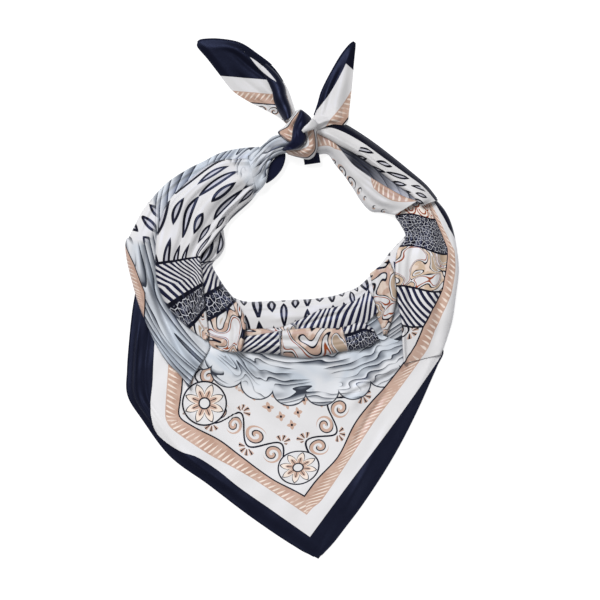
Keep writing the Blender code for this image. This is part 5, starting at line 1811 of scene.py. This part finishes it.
# %% The heart of the knot
KNOT_MIDDLE, KNOT_REACH = (5.0, 156.0, 7.5), (8.5, 13.0, 7.2)      # in x, y and z
KNOT_LEAN = 0.25                                                    # to the right, going up
lengthwise = np.linspace(-0.97, 0.97, 25)[:, None]
around = np.linspace(0, math.tau, 33)[None, :]
girth = np.sqrt(1 - lengthwise ** 2)
core = np.stack([
    KNOT_MIDDLE[0] + KNOT_LEAN * KNOT_REACH[1] * lengthwise + KNOT_REACH[0] * girth * np.cos(around),
    KNOT_MIDDLE[1] + KNOT_REACH[1] * lengthwise + 0 * around,
    np.maximum(KNOT_MIDDLE[2] + KNOT_REACH[2] * girth * np.sin(around), 0.2)], axis=2)
round_solid("knot_core", core, "white_silk", trim_silk)

# %% [markdown]
# ## The shells, from the lowest to the highest
#
# The order matters more than the heights.  Each stretch lies on those that come before it in this
# list, as it does on the real scarf, and only the back of the triangle lies flat on the floor.

# %% The order in which they lie
LAID = [
    # node, table, cells along, cells across, slot, finish, what it lies on
    ("back_panel", BACK_PANEL, 70, 40, "navy_silk", border_silk, ["floor"]),
    ("left_back_strip", LEFT_BACK_STRIP, 110, 30, "grey_silk", streak_silk, ["hidden_layers"]),
    ("front_panel", FRONT_PANEL, 170, 190, "white_silk", border_silk, ["hidden_layers", "back_panel"]),
    ("left_drape", LEFT_DRAPE, 120, 44, "grey_silk", drape_silk, ["hidden_layers", "front_panel"]),
    ("neck_roll", NECK_ROLL, 130, 34, "white_silk", leaf_silk, ["hidden_layers", "front_panel"]),
    ("right_shoulder", RIGHT_SHOULDER, 120, 52, "white_silk", panel_silk, ["hidden_layers", "front_panel"]),
    ("right_stripe_fold", RIGHT_STRIPE_FOLD, 54, 26, "white_silk", leaf_silk, ["neck_roll", "front_panel"]),
    ("upper_roll", UPPER_ROLL, 96, 26, "white_silk", leaf_silk, ["neck_roll", "front_panel"]),
    ("lower_roll", LOWER_ROLL, 100, 34, "white_silk", leaf_silk, ["upper_roll", "front_panel"]),
    ("left_inner_fold", LEFT_INNER_FOLD, 96, 40, "white_silk", leaf_silk, ["hidden_layers", "lower_roll"]),
    ("left_shoulder", LEFT_SHOULDER, 150, 60, "white_silk", leaf_silk,
     ["hidden_layers", "left_inner_fold"]),
    ("right_inner_fold", RIGHT_INNER_FOLD, 84, 28, "grey_silk", hollow_shade_silk, ["hidden_layers"]),
    ("right_lower_leaf", RIGHT_LOWER_LEAF, 90, 32, "peach_silk", curl_silk, ["right_inner_fold"]),
    ("right_upper_leaf", RIGHT_UPPER_LEAF, 110, 34, "white_silk", edged_silk, ["right_inner_fold"]),
    ("left_tab", LEFT_TAB, 28, 14, "navy_silk", navy_silk, ["hidden_layers"]),
    ("left_gather", LEFT_GATHER, 40, 44, "grey_silk", leaf_silk, ["left_shoulder", "left_tab"]),
    ("right_ear", RIGHT_EAR, 72, 36, "white_silk", trim_silk, ["floor", "knot_core"]),
    ("left_ear", LEFT_EAR, 92, 44, "white_silk", trim_silk, ["floor", "knot_core"]),
    ("left_ear_turn", LEFT_EAR_TURN, 48, 20, "navy_silk", drape_silk, ["left_ear"]),
    ("knot_under_corner", KNOT_UNDER_CORNER, 16, 12, "navy_silk", navy_silk, ["knot_core"]),
    ("knot_left_wrap", KNOT_LEFT_WRAP, 34, 22, "peach_silk", trim_silk, ["knot_core", "left_ear"]),
    ("knot_lower_loop", KNOT_LOWER_LOOP, 36, 22, "white_silk", trim_silk, ["knot_core"]),
    ("knot_front_wrap", KNOT_FRONT_WRAP, 44, 26, "navy_silk", navy_silk,
     ["knot_left_wrap", "knot_lower_loop"]),
    ("knot_tongue", KNOT_TONGUE, 26, 18, "white_silk", trim_silk, ["knot_front_wrap", "right_ear"]),
]


print("shells to lay:", len(LAID))


# %% Laying them
def place_of(node, grid):
    """Each stretch's place in the print."""
    if node == "front_panel":
        return placed_by_curves(grid)
    if node in CORNER_PLACES:
        place = placed_on_corner(grid, CORNER_PLACES[node])
    elif node in PLACES:
        place = placed_by_rows(PLACES[node], grid.shape[0] - 1, grid.shape[1] - 1)
    else:
        place = grid[:, :, :2] + FAR_INSIDE
    return with_sliver(grid, place) if node.startswith("left_ear") else place


for node, table, along, across, slot, finish, below in LAID:
    grid = shaped(node, table, along, across)
    if node == "back_panel":
        grid[:, :, 2] = SILK / 2
    else:
        grid = settled(grid)
    remember(grid)
    silk_shell(node, grid, place_of(node, grid), slot, finish, navy_silk, below)

# %% [markdown]
# ## Floor, light and camera
#
# The scarf lies on white paper, under a large soft lamp at the upper left and a weak one opposite,
# which is a common way to light a small product.  The paper could be lit until it is white, but
# then the silk would be too bright, so the paper shines a little itself, as a light table does.  The
# camera looks straight down from far away with a long lens, so that nothing is foreshortened.

# %% Floor
FLOOR_HALF = 3.0        # half its side, in metres
floor_mesh = bpy.data.meshes.new("floor")
flat_floor = bmesh.new()
bmesh.ops.create_grid(flat_floor, x_segments=1, y_segments=1, size=FLOOR_HALF)
flat_floor.to_mesh(floor_mesh)
flat_floor.free()
floor = bpy.data.objects.new("floor", floor_mesh)
bpy.context.scene.collection.objects.link(floor)
paper = bpy.data.materials.new("matt_white_paper")     # rough paper: no gloss, and backlit a little
paper.use_nodes = True
paper_shader = paper.node_tree.nodes["Principled BSDF"]
for socket, value in {"Base Color": (0.25, 0.25, 0.25, 1), "Roughness": 0.9, "Specular IOR Level": 0.1,
                      "Emission Color": (1, 1, 1, 1), "Emission Strength": 0.85}.items():
    paper_shader.inputs[socket].default_value = value
floor.data.materials.append(paper)

print("the floor is", 2 * FLOOR_HALF, "m wide")

# %% Camera
VIEW_WIDTH = 0.573      # what the camera sees of the table, in metres
LENS = 200.0            # focal length, in mm
CENTRE = metres((7.6, -1.0, 0.0))
camera = bpy.data.cameras.new("camera")
camera.lens = LENS
view = bpy.data.objects.new("camera", camera)
view.location = (CENTRE[0], CENTRE[1], LENS / camera.sensor_width * VIEW_WIDTH)
bpy.context.scene.collection.objects.link(view)
bpy.context.scene.camera = view
print(f"the camera is {view.location.z:.2f} m above the table")


# %% Light
def softbox(name, place, size, power):
    """A rectangular area light that shines at the middle of the table."""
    light = bpy.data.lights.new(name, "AREA")
    light.shape = "RECTANGLE"
    light.size, light.size_y = size
    light.energy = power
    thing = bpy.data.objects.new(name, light)
    thing.location = place
    thing.rotation_euler = (-Vector(place)).to_track_quat("-Z", "Y").to_euler()
    bpy.context.scene.collection.objects.link(thing)


softbox("key", (-1.7, 2.6, 4.2), (1.8, 1.8), 300)
softbox("fill", (3.0, -2.4, 3.6), (3.0, 3.0), 40)
world = bpy.data.worlds.new("studio")
bpy.context.scene.world = world
world.use_nodes = True
world.node_tree.nodes["Background"].inputs["Color"].default_value = (1, 1, 1, 1)
world.node_tree.nodes["Background"].inputs["Strength"].default_value = 0.22
bpy.context.scene.view_settings.view_transform = "Standard"
print("lamps:", len(bpy.data.lights))
